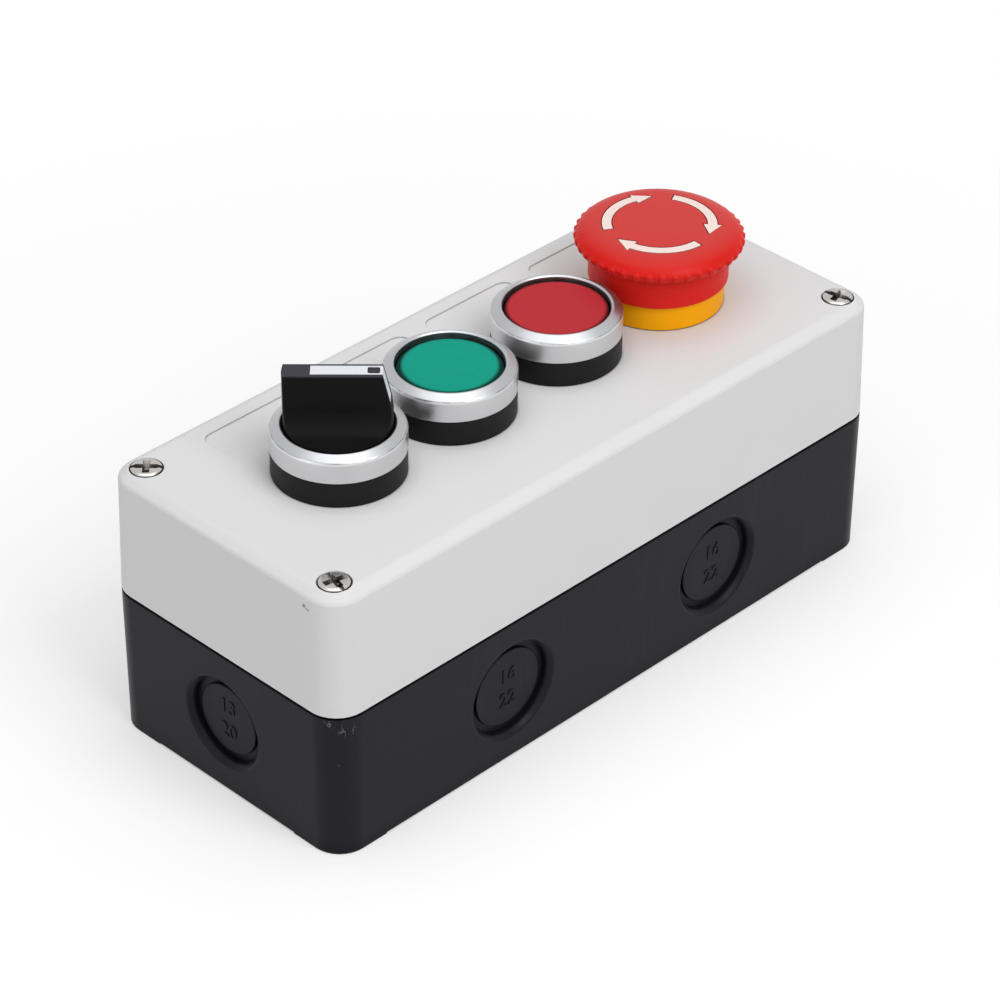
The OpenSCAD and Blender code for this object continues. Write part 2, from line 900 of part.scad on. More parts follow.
// Points of the head's top, from the shoulder's end to the middle
function head_top_points() =
    [
        [stop_flat_d / 2, dome_z], [stop_flat_d / 2 * 0.55, dome_z + dome_rise * 0.7],
        [0, dome_z + dome_rise]
    ];

// Three cream arrows, a second shot of plastic level with the head's top
module stop_arrows() {
    color("#f0e9dc")
    at_station(STOP)
        intersection() {
            arrows(0);
            rotate_extrude()
                polygon([
                    [0, stop_rim_z], each shoulder(stop_r - bump_rise), each head_top_points()
                ]);
        }
}

// Mushroom head: domed cap, rolled rim with grip bumps, inner wall and centre boss
module stop_head() {
    flat_r = stop_flat_d / 2;
    body_r = stop_r - bump_rise;
    rim_z = stop_rim_z;
    roof_z = dome_z - cap_t;
    boss_bore = tube_d / 2 + run_play;
    bump_foot = rim_z - 0.25;
    color("#d5201c")
    at_station(STOP) {
        difference() {
            rotate_extrude()
                polygon([
                    [head_in_r, head_foot], [head_in_r + 0.6, head_foot],
                    [body_r - rim_in, rim_z - rim_drop], each shoulder(body_r),
                    each head_top_points(), [0, roof_z], [boss_bore, roof_z],
                    [boss_bore, head_boss_foot], [boss_out_r, head_boss_foot],
                    [boss_out_r, head_roof], [head_in_r - 1.2, head_roof],
                    [head_in_r, head_roof - 1]
                ]);
            arrows(fit_play);
        }
        intersection() {
            rotate_extrude()
                polygon([
                    [flat_r, bump_foot], [stop_r, bump_foot],
                    for (a = [0:15:90]) [
                        stop_r - bump_round + bump_round * cos(a),
                        rim_z + bump_lift + bump_round * sin(a)
                    ],
                    [flat_r, rim_z + bump_lift + bump_round]
                ]);
            for (i = [0:bump_count - 1])
                rotate(i * 360 / bump_count)
                    translate([stop_r - bump_r + 0.15, 0, bump_foot - 1])
                        cylinder(r = bump_r, h = stop_dome_h + 2, $fn = hull_fn);
        }
    }
}

// Shaft of the stop head, with a shoulder for the spring and a socket that clears the post
module stop_shaft() {
    socket_top = stop_travel + 3 - barrel_l;
    color("#e6e6e0")
    at_station(STOP)
        rotate_extrude()
            polygon([
                [stop_shaft_bore / 2, socket_top], [tube_bore / 2, socket_top],
                [tube_bore / 2, -barrel_l], [tube_d / 2, -barrel_l],
                [tube_d / 2, shoulder_z], [shoulder_r, shoulder_z],
                [shoulder_r, shoulder_z + shoulder_t], [tube_d / 2, shoulder_z + shoulder_t],
                [tube_d / 2, dome_z - cap_t - 0.1], [stop_shaft_bore / 2, dome_z - cap_t - 0.1]
            ]);
}

module stop_return_spring() {
    at_station(STOP)
        coil(return_spring_r, stop_wire, stop_turns, chamber_floor + fit_play,
            shoulder_z - fit_play);
}

// Six-sided nuts that clamp the four devices to the panel
module fixing_nuts() {
    color("#2a2a2c")
    for (i = [0:3])
        at_station(i)
            translate([0, 0, -panel_t - nut_h])
                difference() {
                    union() {
                        cylinder(d = nut_d, h = nut_h - 1, $fn = 6);
                        cylinder(d = nut_d * 0.93, h = nut_h);
                    }
                    translate([0, 0, -1]) cylinder(r = barrel_r + fit_play, h = nut_h + 2);
                }
}

// Cradle that grips the barrel and clips over the contact block
module block_holder(i) {
    clip_x = block_w / 2 + clip_play;
    color("#3a3b3f")
    at_station(i)
        difference() {
            union() {
                box_between(
                    [-clip_x - clip_t, -block_l / 4, block_top],
                    [clip_x + clip_t, block_l / 4, -barrel_l]
                );
                translate([0, 0, block_top + 0.5])
                    cylinder(r = holder_r, h = holder_floor_t + holder_grip - 0.5);
                for (s = [-1, 1]) {
                    arm = [s * (clip_x + clip_t / 2), 0, block_top - clip_drop / 2 + 0.5];
                    translate(arm) cube([clip_t, clip_w, clip_drop + 1], center = true);
                    translate([s * (clip_x + 0.3), 0, block_top - clip_drop + hook_h / 2])
                        cube([2 * hook, clip_w, hook_h], center = true);
                }
            }
            translate([0, 0, -barrel_l]) cylinder(r = barrel_r + fit_play, h = holder_grip + 1);
            translate([0, 0, block_top - 1]) cylinder(r = holder_bore_r, h = holder_floor_t + 2);
        }
}

// Height of the fixed strip's underside for each station.
// Closing contacts lie below the bridge, opening ones lie above it.
function station_travel(i) = i == SELECTOR ? selector_travel : button_travel;
function strip_z(i) =
    i == STOP
    ? carrier_z + tip_t - carrier_t + tip_t
    : carrier_z - carrier_t - bridge_t - tip_t - station_travel(i) - contact_play - tip_t - strip_t;

module contact_block(i) {
    half_w = block_w / 2;
    half_l = block_l / 2;
    clip_x = half_w - hook - clip_play;
    slot_z = strip_z(i);
    color("#4a5560")
    at_station(i) {
        difference() {
            box_between([-half_w, -half_l, block_foot], [half_w, half_l, block_top]);
            box_between(
                [-chamber_w / 2, -chamber_l / 2, block_foot + block_floor_t],
                [chamber_w / 2, chamber_l / 2, block_top - roof_t]
            );
            translate([0, 0, block_top - roof_t - 1])
                cylinder(r = stem_r + run_play, h = roof_t + 2);
            for (s = [-1, 1]) {
                translate([s * half_w, 0, block_top - clip_drop + hook_h / 2])
                    cube([2 * (half_w - clip_x), clip_w + 0.4, hook_h + 0.4], center = true);
                translate([0, s * (pocket_y + block_l / 2) / 2, (pocket_foot_z + pocket_head_z) / 2])
                    cube(
                        [pocket_w, block_l / 2 - pocket_y + eps, pocket_head_z - pocket_foot_z],
                        center = true
                    );
                translate([0, s * pocket_y, slot_z + strip_t / 2])
                    cube(
                        [strip_w + 0.2, 2 * (pocket_y - chamber_l / 2) + 1, strip_t + 0.2],
                        center = true
                    );
                translate([0, s * (pocket_y - terminal_bite - 0.1), terminal_z])
                    rotate([s * -90, 0, 0])
                        cylinder(r = terminal_r + fit_play, h = terminal_bite + 1);
                translate([0, s * half_l, block_top])
                    rotate([45, 0, 0])
                        cube([2 * block_w, block_chamfer, block_chamfer], center = true);
            }
        }
        tube(post_r, spigot_d / 2 + fit_play, block_foot + block_floor_t - 0.5, block_top);
    }
}

// Sleeve that slides on the post and carries the bridge
module stem_sleeve() {
    rotate_extrude()
        polygon([
            [stem_bore_r, stem_foot], [stem_r, stem_foot], [stem_r, carrier_z - carrier_t],
            [carrier_r, carrier_z - carrier_t], [carrier_r, carrier_z], [stem_r, carrier_z],
            [stem_r, stem_top], [stem_bore_r, stem_top]
        ]);
}

// The selector's stem has two noses whose tops are helical like the cam's ramps
module selector_stem() {
    color("#e9dfc6")
    at_station(SELECTOR) {
        stem_sleeve();
        for (dir = nose_dirs)
            helical_sector(
                stem_bore_r + 0.05, stem_r - 0.05, dir - nose_half, dir + nose_half,
                stem_top - 0.5, cam_contact - cam_play - cam_slope * nose_half,
                cam_contact - cam_play + cam_slope * nose_half
            );
    }
}

module contact_stem(i) {
    color("#e9dfc6") at_station(i) stem_sleeve();
}

// Moving strip with a silver tip at each end, above or below it
module contact_bridge(i) {
    top = carrier_z - carrier_t;
    tip_z = i == STOP ? top : top - bridge_t - tip_t;
    color("#c98a4b")
    at_station(i) {
        translate([0, 0, top - bridge_t])
            linear_extrude(bridge_t)
                difference() {
                    union() {
                        circle(carrier_r);
                        square([strip_w, bridge_l], center = true);
                    }
                    circle(stem_r + fit_play);
                }
        for (s = [-1, 1])
            translate([0, s * tip_y, tip_z]) cylinder(r = tip_r, h = tip_t);
    }
}

module stem_spring(i) {
    at_station(i)
        coil((post_r + stem_r) / 2 + 0.15, stem_wire, stem_turns,
            block_foot + block_floor_t + fit_play, stem_foot - fit_play);
}

// Strip from the silver tip out through the block's end wall to a screw plate
module fixed_contact(i, s) {
    z = strip_z(i);
    tip_z = i == STOP ? z - tip_t : z + strip_t;
    translate([0, s * tip_y, tip_z]) cylinder(r = tip_r, h = tip_t);
    translate([0, s * (strip_in + pocket_y) / 2, z + strip_t / 2])
        cube([strip_w, pocket_y - strip_in + 0.4, strip_t], center = true);
    difference() {
        translate([0, s * (pocket_y + strip_t / 2), (plate_foot_z + plate_head_z) / 2])
            cube([plate_w, strip_t, plate_head_z - plate_foot_z], center = true);
        translate([0, s * (pocket_y - strip_t), terminal_z])
            rotate([s * -90, 0, 0]) cylinder(r = terminal_r + fit_play, h = 3 * strip_t);
    }
}

module fixed_contacts() {
    color("#cfa35a")
        for (i = [0:3], s = [-1, 1]) at_station(i) fixed_contact(i, s);
}

// Screw with a square clamp washer, drawn with its head towards +Z
module terminal_screw() {
    seat = strip_t;
    head = seat + washer_t;
    translate([0, 0, -terminal_bite])
        cylinder(r = terminal_r, h = terminal_bite + head + 0.1);
    translate([0, 0, seat + washer_t / 2]) cube([washer_w, washer_w, washer_t], center = true);
    difference() {
        translate([0, 0, head]) cylinder(r = terminal_head_r, h = terminal_head_h);
        translate([0, 0, head + terminal_head_h])
            cube([2 * terminal_head_r + 1, 0.8, 1.6], center = true);
    }
}

module terminal_screws() {
    color("#c4c1b8")
    for (i = [0:3], s = [-1, 1])
        at_station(i)
            translate([0, s * pocket_y, terminal_z]) rotate([s * -90, 0, 0]) terminal_screw();
}

base_box();
cover();
cover_seal();
cover_screws();
selector_body();
color("#c9cacc") at_station(SELECTOR) bezel();  // selector_bezel
at_station(SELECTOR) panel_seal();  // selector_panel_seal
selector_grip();
selector_pointer();
selector_cam();
color("#1c1c1e") at_station(GREEN) button_body();  // green_body
color("#c9cacc") at_station(GREEN) bezel();  // green_bezel
at_station(GREEN) panel_seal();  // green_panel_seal
color("#12a088") at_station(GREEN) lens();  // green_lens
at_station(GREEN) diffuser();  // green_diffuser
at_station(GREEN) plunger();  // green_plunger
at_station(GREEN) button_spring();  // green_return_spring
at_station(GREEN) lamp("#bfe8d8");  // green_lamp
color("#1c1c1e") at_station(RED) button_body();  // red_body
color("#c9cacc") at_station(RED) bezel();  // red_bezel
at_station(RED) panel_seal();  // red_panel_seal
color("#be303c") at_station(RED) lens();  // red_lens
at_station(RED) diffuser();  // red_diffuser
at_station(RED) plunger();  // red_plunger
at_station(RED) button_spring();  // red_return_spring
at_station(RED) lamp("#f0c4c0");  // red_lamp
stop_body();
stop_ring();
stop_collar();
at_station(STOP) panel_seal();  // stop_panel_seal
stop_head();
stop_arrows();
stop_shaft();
stop_return_spring();
fixing_nuts();
block_holder(SELECTOR);  // selector_block_holder
block_holder(GREEN);  // green_block_holder
block_holder(RED);  // red_block_holder
block_holder(STOP);  // stop_block_holder
contact_block(SELECTOR);  // selector_block
contact_block(GREEN);  // green_block
contact_block(RED);  // red_block
contact_block(STOP);  // stop_block
selector_stem();
contact_stem(GREEN);  // green_stem
contact_stem(RED);  // red_stem
contact_stem(STOP);  // stop_stem
contact_bridge(SELECTOR);  // selector_bridge
contact_bridge(GREEN);  // green_bridge
contact_bridge(RED);  // red_bridge
contact_bridge(STOP);  // stop_bridge
stem_spring(SELECTOR);  // selector_stem_spring
stem_spring(GREEN);  // green_stem_spring
stem_spring(RED);  // red_stem_spring
stem_spring(STOP);  // stop_stem_spring
fixed_contacts();
terminal_screws();
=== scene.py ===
import functools
import json
import math

import bmesh
import bpy
from bpy.props import FloatProperty, FloatVectorProperty, IntProperty, PointerProperty
from mathutils import Matrix, Vector


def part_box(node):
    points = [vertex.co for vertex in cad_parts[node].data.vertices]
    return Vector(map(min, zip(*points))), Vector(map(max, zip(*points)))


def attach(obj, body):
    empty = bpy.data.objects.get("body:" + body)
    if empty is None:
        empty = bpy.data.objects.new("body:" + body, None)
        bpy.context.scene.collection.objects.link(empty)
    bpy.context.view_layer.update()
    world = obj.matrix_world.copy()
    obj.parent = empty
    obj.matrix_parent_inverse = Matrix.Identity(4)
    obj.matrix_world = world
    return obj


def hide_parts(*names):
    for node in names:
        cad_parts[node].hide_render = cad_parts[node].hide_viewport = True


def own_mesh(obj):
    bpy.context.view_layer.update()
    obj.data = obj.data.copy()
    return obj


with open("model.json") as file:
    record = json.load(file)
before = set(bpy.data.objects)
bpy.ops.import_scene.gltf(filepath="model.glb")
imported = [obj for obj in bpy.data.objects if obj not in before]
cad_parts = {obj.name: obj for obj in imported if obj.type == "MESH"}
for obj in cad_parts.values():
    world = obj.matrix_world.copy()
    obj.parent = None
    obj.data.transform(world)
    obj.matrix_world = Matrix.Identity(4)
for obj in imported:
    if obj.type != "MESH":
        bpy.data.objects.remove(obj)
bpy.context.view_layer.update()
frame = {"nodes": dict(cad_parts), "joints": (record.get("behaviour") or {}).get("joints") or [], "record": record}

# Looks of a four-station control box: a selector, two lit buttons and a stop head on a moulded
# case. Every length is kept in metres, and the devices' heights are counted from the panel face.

bl_info = {
    "name": "Control box",
    "version": (1, 0, 0),
    "blender": (4, 5, 0),
    "location": "3D View > Sidebar > Control box",
    "description": "Dresses a four-station control box in its moulded and plated finishes",
    "category": "Object",
}

MM = 0.001
# Steps of a full turn and of a rounded corner, and the distance within which points are one
TURN_STEPS = 96
CORNER_STEPS = 8
CLOSE = 1e-6
STATIONS = ("selector", "green", "red", "stop")


def middle_x(node):
    """Middle of a CAD node along X."""
    low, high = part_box(node)
    return (low.x + high.x) / 2


STATION_X = {name: middle_x(f"{name}_panel_seal") for name in STATIONS}
BOX_LOW, BOX_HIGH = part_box("base_box")
BOX_X = BOX_HIGH.x - BOX_LOW.x
BOX_Y = BOX_HIGH.y - BOX_LOW.y
SEAM_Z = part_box("cover_seal")[0].z - 2 * MM
PANEL_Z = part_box("cover")[1].z


def linear(hex_colour):
    """An sRGB hex colour as linear red, green and blue."""
    parts = [(hex_colour >> shift & 255) / 255 for shift in (16, 8, 0)]
    return tuple(p / 12.92 if p <= 0.04045 else ((p + 0.055) / 1.055) ** 2.4 for p in parts)


def length(name, description, millimetres):
    """A size that a user can change."""
    return FloatProperty(
        name=name, description=description, default=millimetres * MM, min=0.0,
        precision=5, unit="LENGTH", subtype="DISTANCE",
    )


def colour(name, description, hex_colour):
    """A colour that a user can change, kept as linear values."""
    return FloatVectorProperty(
        name=name, description=description, default=linear(hex_colour),
        subtype="COLOR", size=3, min=0.0, max=1.0,
    )


class BoxSizes(bpy.types.PropertyGroup):
    """Sizes of the two moulded halves of the case."""

    corner: length("Corner radius", "Radius of the upright corners at the seam", 7.5)
    wall: length("Wall", "Thickness of the side walls", 3.0)
    floor: length("Floor", "Thickness of the floor and of the panel", 3.0)
    foot: length("Foot height", "Height of the corner feet", 0.55)
    foot_length: length("Foot length", "Length of each foot along the case", 14.5)
    base_lean: length("Base lean", "How far a base wall leans in at its foot", 0.3)
    cover_lean: length("Cover lean", "How far a cover wall leans in at its top", 0.65)
    edge_width: length("Edge width", "Width of the sloping edge round the panel", 2.4)
    edge_height: length("Edge height", "Height of the sloping edge round the panel", 1.65)
    soft_edge: length("Soft edge", "Width of the rounding along the panel's ridges", 0.7)
    seam: length("Seam gap", "Open line between the two halves", 0.75)
    tongue: length("Tongue height", "Height of the tongue that enters the cover", 2.0)
    tongue_outer: length("Tongue outer face", "Distance of the tongue from the wall's face", 1.4)
    tongue_inner: length("Tongue inner face", "Distance of its inside from the wall's face", 2.8)
    rebate: length("Rebate", "Distance of the cover's rebate from the outer face", 1.3)
    rebate_height: length("Rebate height", "Height of the rebate above the seam", 3.0)
    screw_inset: length("Screw inset", "Distance of the cover screws from the side faces", 7.05)
    screw_room: length("Screw room", "Radius of the hole round a screw's head", 3.8)
    screw_seat: length("Screw seat", "Depth of the face under a screw's head", 1.85)
    shank_room: length("Shank room", "Radius of the hole round a screw's shank", 2.3)
    thread_hole: length("Thread hole", "Radius of the screw holes in the base", 2.05)
    boss: length("Boss radius", "Radius of the screw bosses inside the case", 4.8)
    slim_boss: length("Slim boss radius", "Radius of a cover boss where it passes the seam", 4.0)
    panel_hole: length("Panel hole", "Radius of the hole under each device", 11.15)
    label_length: length("Label length", "Length of a name recess", 27.4)
    label_width: length("Label width", "Width of a name recess", 13.7)
    label_near: length("Label distance", "Distance of a name recess from the middle line", 16.2)
    label_corner: length("Label corner", "Radius of a name recess's corners", 3.0)
    label_depth: length("Label depth", "Depth of a name recess", 0.35)
    fix_length: length("Fixing length", "Distance between the floor holes along the case", 132.0)
    fix_width: length("Fixing width", "Distance between the floor holes across the case", 48.0)
    fix_hole: length("Fixing hole", "Radius of the floor holes", 2.9)


class KnockOutSizes(bpy.types.PropertyGroup):
    """Sizes of the breakable discs in the base."""

    side_x: length("Side distance", "Distance of a long side's disc from the middle", 33.3)
    side_radius: length("Side disc", "Radius of a disc in a long side", 9.7)
    end_radius: length("End disc", "Radius of a disc in an end", 8.7)
    groove: length("Groove", "Width of the groove round a disc", 1.85)
    depth: length("Groove depth", "Depth of the groove round a disc", 2.55)
    lip: length("Lip", "Width of the sloping lip outside the groove", 0.9)
    sink: length("Sink", "Depth of a disc below the wall", 1.8)
    figure: length("Figure height", "Height of the raised figures on a disc", 5.2)
    figure_rise: length("Figure rise", "How far the figures stand off a disc", 0.2)


class DeviceSizes(bpy.types.PropertyGroup):
    """Sizes of the black rings, bezels and lenses."""

    flange_radius: length("Ring radius", "Outer radius of the black ring", 14.9)
    flange_top: length("Ring height", "Height of the black ring", 6.1)
    barrel: length("Barrel radius", "Radius of the barrel below the panel", 10.95)
    bezel_radius: length("Bezel radius", "Outer radius of the bezel", 15.0)
    bezel_shoulder: length("Bezel shoulder", "Height at which the bezel starts to slope", 11.05)
    bezel_top: length("Bezel top", "Height of the bezel's rim", 12.4)
    bezel_step: length("Bezel step", "Height of the step inside the bezel", 10.5)
    window: length("Window radius", "Radius of the opening in the bezel", 12.25)
    lens_radius: length("Lens radius", "Outer radius of a lens", 11.9)
    lens_top: length("Lens top", "Height of a lens's face", 11.4)
    lens_wall: length("Lens thickness", "Thickness of a lens's face", 0.9)
    green_face: length("Green lens face", "Radius of the green lens's bright face", 10.85)
    red_face: length("Red lens face", "Radius of the red lens's bright face", 11.35)
    knob_edge: length("Knob edge", "Width of the rounding on the knob's edges", 0.35)


class StopSizes(bpy.types.PropertyGroup):
    """Sizes of the stop head and its rings."""

    core: length("Core radius", "Radius of the core inside the two rings", 14.35)
    ring_radius: length("Ring radius", "Outer radius of the yellow ring", 15.25)
    ring_top: length("Ring top", "Height of the yellow ring", 6.3)
    collar_radius: length("Collar radius", "Outer radius of the red collar", 16.4)
    collar_top: length("Collar top", "Height of the red collar", 13.9)
    body_radius: length("Head radius", "Radius of the head above its grip bumps", 19.5)
    rim: length("Head rim", "Height of the head's widest line", 15.4)
    rise: length("Head rise", "Height of the head's shoulder above its widest line", 4.0)
    crown: length("Crown", "How far the middle of the top stands above its edge", 0.25)
    flat_radius: length("Flat radius", "Radius of the flat part of the head", 13.0)
    bump_rise: length("Bump rise", "How far a grip bump stands off the rim", 0.42)
    bump_radius: length("Bump radius", "Half the width of a grip bump", 0.88)
    bump_middle: length("Bump middle", "Height of the middle of a grip bump", 15.8)
    bump_height: length("Bump height", "Half the height of a grip bump", 1.25)
    arrow_radius: length("Arrow radius", "Middle radius of the arrows", 12.08)
    arrow_width: length("Arrow width", "Width of an arrow's shaft", 2.15)
    arrow_barb: length("Arrow barb", "How far an arrow's head stands past its shaft", 1.0)
    arrow_sink: length("Arrow sink", "Depth of the recess round an arrow", 0.38)
    arrow_gap: length("Arrow gap", "Width of the dark line round an arrow", 0.26)
    bumps: IntProperty(
        name="Bumps", description="Number of grip bumps round the rim", default=40, min=8)


class Finishes(bpy.types.PropertyGroup):
    """Colours of the pieces that show."""

    cover: colour("Cover", "Light grey of the cover", 0xD9D9DA)
    base: colour("Base", "Charcoal of the base", 0x1F1E25)
    ring: colour("Device rings", "Black of the rings under the bezels", 0x161617)
    knob: colour("Knob", "Black of the selector's knob", 0x131314)
    # Painted sheen: the knob's top face is painted a paler grey
    knob_top_sheen: colour("Knob's top", "Worn grey of the knob's top face", 0x3D3C43)
    chrome: colour("Bezels", "Bright chrome of a bezel's wall", 0xD6D6D7)
    # Painted shade: a bezel's slope is painted darker than its wall
    chrome_slope_shade: colour("Bezel slopes", "Blasted chrome of a bezel's sloping face", 0xB2B3B6)
    screws: colour("Screws", "Nickel plate of the cover screws", 0xBDBAB6)
    green: colour("Green lens", "Face of the green lens", 0x069781)
    red: colour("Red lens", "Face of the red lens", 0xB52C34)
    head: colour("Stop head", "Red of the stop head", 0xD31912)
    # Painted sheen: the head's top is painted a paler red
    head_top_sheen: colour("Stop head's top", "Paler red of the blasted top of the head", 0xCB3834)
    collar: colour("Stop collar", "Red of the collar under the head", 0xDC2019)
    yellow: colour("Yellow ring", "Yellow of the ring under the stop head", 0xFFAE02)
    sign: colour("Arrows", "Cream of the arrows", 0xF0DCD4)
    pointer: colour("Pointer", "White of the selector's pointer", 0xDFE2E8)


class StageSettings(bpy.types.PropertyGroup):
    """The camera and lamps of the studio."""

    azimuth: FloatProperty(
        name="Azimuth", description="Camera's direction round the case",
        default=math.radians(-45.374), subtype="ANGLE")
    elevation: FloatProperty(
        name="Elevation", description="Camera's height above the horizon",
        default=math.radians(34.662), subtype="ANGLE")
    roll: FloatProperty(
        name="Roll", description="Turn of the picture", default=math.radians(0.331),
        subtype="ANGLE")
    distance: length("Distance", "Distance of the camera from what it aims at", 896.67)
    lens: FloatProperty(
        name="Lens", description="Focal length on a 36 mm sensor", default=141.56, unit="CAMERA")
    aim: FloatVectorProperty(
        name="Aim", description="Point that the camera aims at",
        default=(0.725 * MM, 1.627 * MM, 33.93 * MM), subtype="TRANSLATION", unit="LENGTH")
    sky: FloatProperty(
        name="Sky", description="Strength of the even light from all sides", default=0.43, min=0.0)


# Materials


NOISE, MIX, RANGE = "ShaderNodeTexNoise", "ShaderNodeMix", "ShaderNodeMapRange"
MATH, VECTOR_MATH = "ShaderNodeMath", "ShaderNodeVectorMath"
PRINCIPLED = "ShaderNodeBsdfPrincipled"
# The sockets of a Mix node that blend colours, counted among all its sockets
FACTOR, FIRST, SECOND, BLENDED = 0, 6, 7, 2
# Most values of a noise lie between these two
MIDDLE = (0.3, 0.7)
# How far a moulded or plated surface's roughness wanders either way
WANDER = 0.04
WHITE = (1.0, 1.0, 1.0, 1.0)


def add_node(tree, kind, sockets=(), output=0, **settings):
    """Adds a node, sets or links its sockets by name or in order, and gives one output."""
    node = tree.nodes.new(kind)
    for name, value in settings.items():
        setattr(node, name, value)
    for socket, value in sockets.items() if isinstance(sockets, dict) else enumerate(sockets):
        if isinstance(value, bpy.types.NodeSocket):
            tree.links.new(value, node.inputs[socket])
        else:
            node.inputs[socket].default_value = value
    return node.outputs[output] if node.outputs else None


def start_material(name):
    """A new material, what adds nodes to its empty tree, and the Object coordinates in it."""
    material = bpy.data.materials.new(name)
    material.use_nodes = True
    material.node_tree.nodes.clear()
    add = functools.partial(add_node, material.node_tree)
    return material, add, add("ShaderNodeTexCoord", output="Object")


def end_material(material, add, surface):
    """Links a shader to the material's output."""
    add("ShaderNodeOutputMaterial", {"Surface": surface})
    return material


def toned(rgb, factor):
    """A colour made lighter or darker."""
    return (*(min(1.0, part * factor) for part in rgb[:3]), 1.0)


def per_mm(size):
    """The scale of a noise whose blotches are that many millimetres wide."""
    return 1 / (size * MM)


def by_height(add, place, below, above, low, high):
    """One tone below a height and a plain colour above the next."""
    z = add("ShaderNodeSeparateXYZ", (place,), "Z")
    share = add(RANGE, (z, low, high, 0.0, 1.0))
    colours = {FACTOR: share, FIRST: below, SECOND: toned(above, 1.0)}
    return add(MIX, colours, BLENDED, data_type="RGBA")


def near(add, place, point, reach):
    """One at a point, falling to nothing at that many millimetres from it."""
    away = add(VECTOR_MATH, (place, point), 1, operation="DISTANCE")
    return add(RANGE, (away, 0.3 * reach * MM, reach * MM, 1.0, 0.0))


def scratches(add, place, size, width):
    """Thin curved lines that wander over blotches that many millimetres wide."""
    blotches = add(NOISE, {"Vector": place, "Scale": per_mm(size), "Detail": 3.0})
    off = add(MATH, (add(MATH, (blotches, 0.5), operation="SUBTRACT"),), operation="ABSOLUTE")
    return add(RANGE, (off, 0.3 * width, width, 1.0, 0.0))


def shade_and_dirt_in_joints(add, tone, dark, reach):
    """A tone darkened by painted shade and grime where joints and recesses close in, within that many millimetres.
    """
    open_sky = add("ShaderNodeAmbientOcclusion", {"Distance": reach * MM}, "AO", samples=6)
    share = add(RANGE, (open_sky, 0.2, 0.8, 0.0, 1.0))
    return add(MIX, {FACTOR: share, FIRST: dark, SECOND: tone}, BLENDED, data_type="RGBA")


def grained(add, place, size, depth):
    """The relief of a skin whose grains are that many millimetres wide and deep."""
    grains = add(NOISE, {"Vector": place, "Scale": per_mm(size)})
    return add("ShaderNodeBump", {"Height": grains, "Distance": depth * MM, "Strength": 1.0})


def plastic(name, rgb, roughness, grain=0.8, depth=0.025, mottle=0.03, specular=0.2,
            subsurface=0.0, upper=None, shade_and_dirt_reach=0.8, marks=()):
    """Moulded plastic: a fine grain from the mould and a slight mottling where it flowed."""
    material, add, place = start_material(name)
    flow = add(NOISE, {"Vector": place, "Scale": per_mm(14), "Detail": 3.0})
    pale, deep = toned(rgb, 1 + mottle), toned(rgb, 1 - mottle)
    tone = add(MIX, {FACTOR: flow, FIRST: deep, SECOND: pale}, BLENDED, data_type="RGBA")
    if upper:
        tone = by_height(add, place, tone, *upper)
    dark = toned(rgb, 0.2)
    for point, reach in marks:
        mark = near(add, place, point, reach)
        tone = add(MIX, {FACTOR: mark, FIRST: tone, SECOND: dark}, BLENDED, data_type="RGBA")
    surface = add(PRINCIPLED, {
        # Painted shade: the colour darkens where joints and recesses close in
        "Base Color": shade_and_dirt_in_joints(add, tone, dark, shade_and_dirt_reach),
        "Roughness": add(RANGE, (flow, *MIDDLE, roughness - WANDER, roughness + WANDER)),
        "IOR": 1.5,
        "Specular IOR Level": specular,
        "Subsurface Weight": subsurface,
        "Subsurface Scale": 1 * MM,
        "Normal": grained(add, place, grain, depth)})
    return end_material(material, add, surface)


def sheen_and_rubs_plastic(name, rgb, roughness, scuffed):
    """Moulded plastic with faint pale rub marks from handling that also serve as a painted sheen, and scratches
    round some points.
    """
    material, add, place = start_material(name)
    flow = add(NOISE, {"Vector": place, "Scale": per_mm(26), "Detail": 4.0})
    # Streaks 2.4 mm wide and eight times as tall
    along = add("ShaderNodeMapping", {"Vector": place, "Scale": (1.0, 1.0, 0.12)})
    streaks = add(NOISE, {"Vector": along, "Scale": per_mm(2.4), "Detail": 6.0})
    both = add(MATH, (streaks, flow), operation="MULTIPLY")
    # Painted sheen: the pale streaks lighten parts of the walls as well as marking handling
    rubs_and_sheen = add(RANGE, (both, 0.28, 0.5, 0.0, 0.3))
    colours = {FACTOR: rubs_and_sheen, FIRST: toned(rgb, 1.0), SECOND: toned(rgb, 2.4)}
    tone = add(MIX, colours, BLENDED, data_type="RGBA")
    # Scratched filled plastic turns a cool grey
    scuff = toned(linear(0x6C6C70), 1.0)
    for point, reach in scuffed:
        lines = scratches(add, place, 2.2, 0.03), near(add, place, point, reach)
        share = add(MATH, lines, operation="MULTIPLY")
        tone = add(MIX, {FACTOR: share, FIRST: tone, SECOND: scuff}, BLENDED, data_type="RGBA")
    surface = add(PRINCIPLED, {
        # Painted shade: a reach of 6 mm darkens the knock-outs' grooves and lips
        "Base Color": shade_and_dirt_in_joints(add, tone, toned(rgb, 0.15), 6.0),
        "Roughness": add(RANGE, (rubs_and_sheen, 0.0, 1.0, roughness, roughness + 0.25)),
        "IOR": 1.5,
        "Specular IOR Level": 0.09,
        "Normal": grained(add, place, 0.9, 0.02)})
    return end_material(material, add, surface)


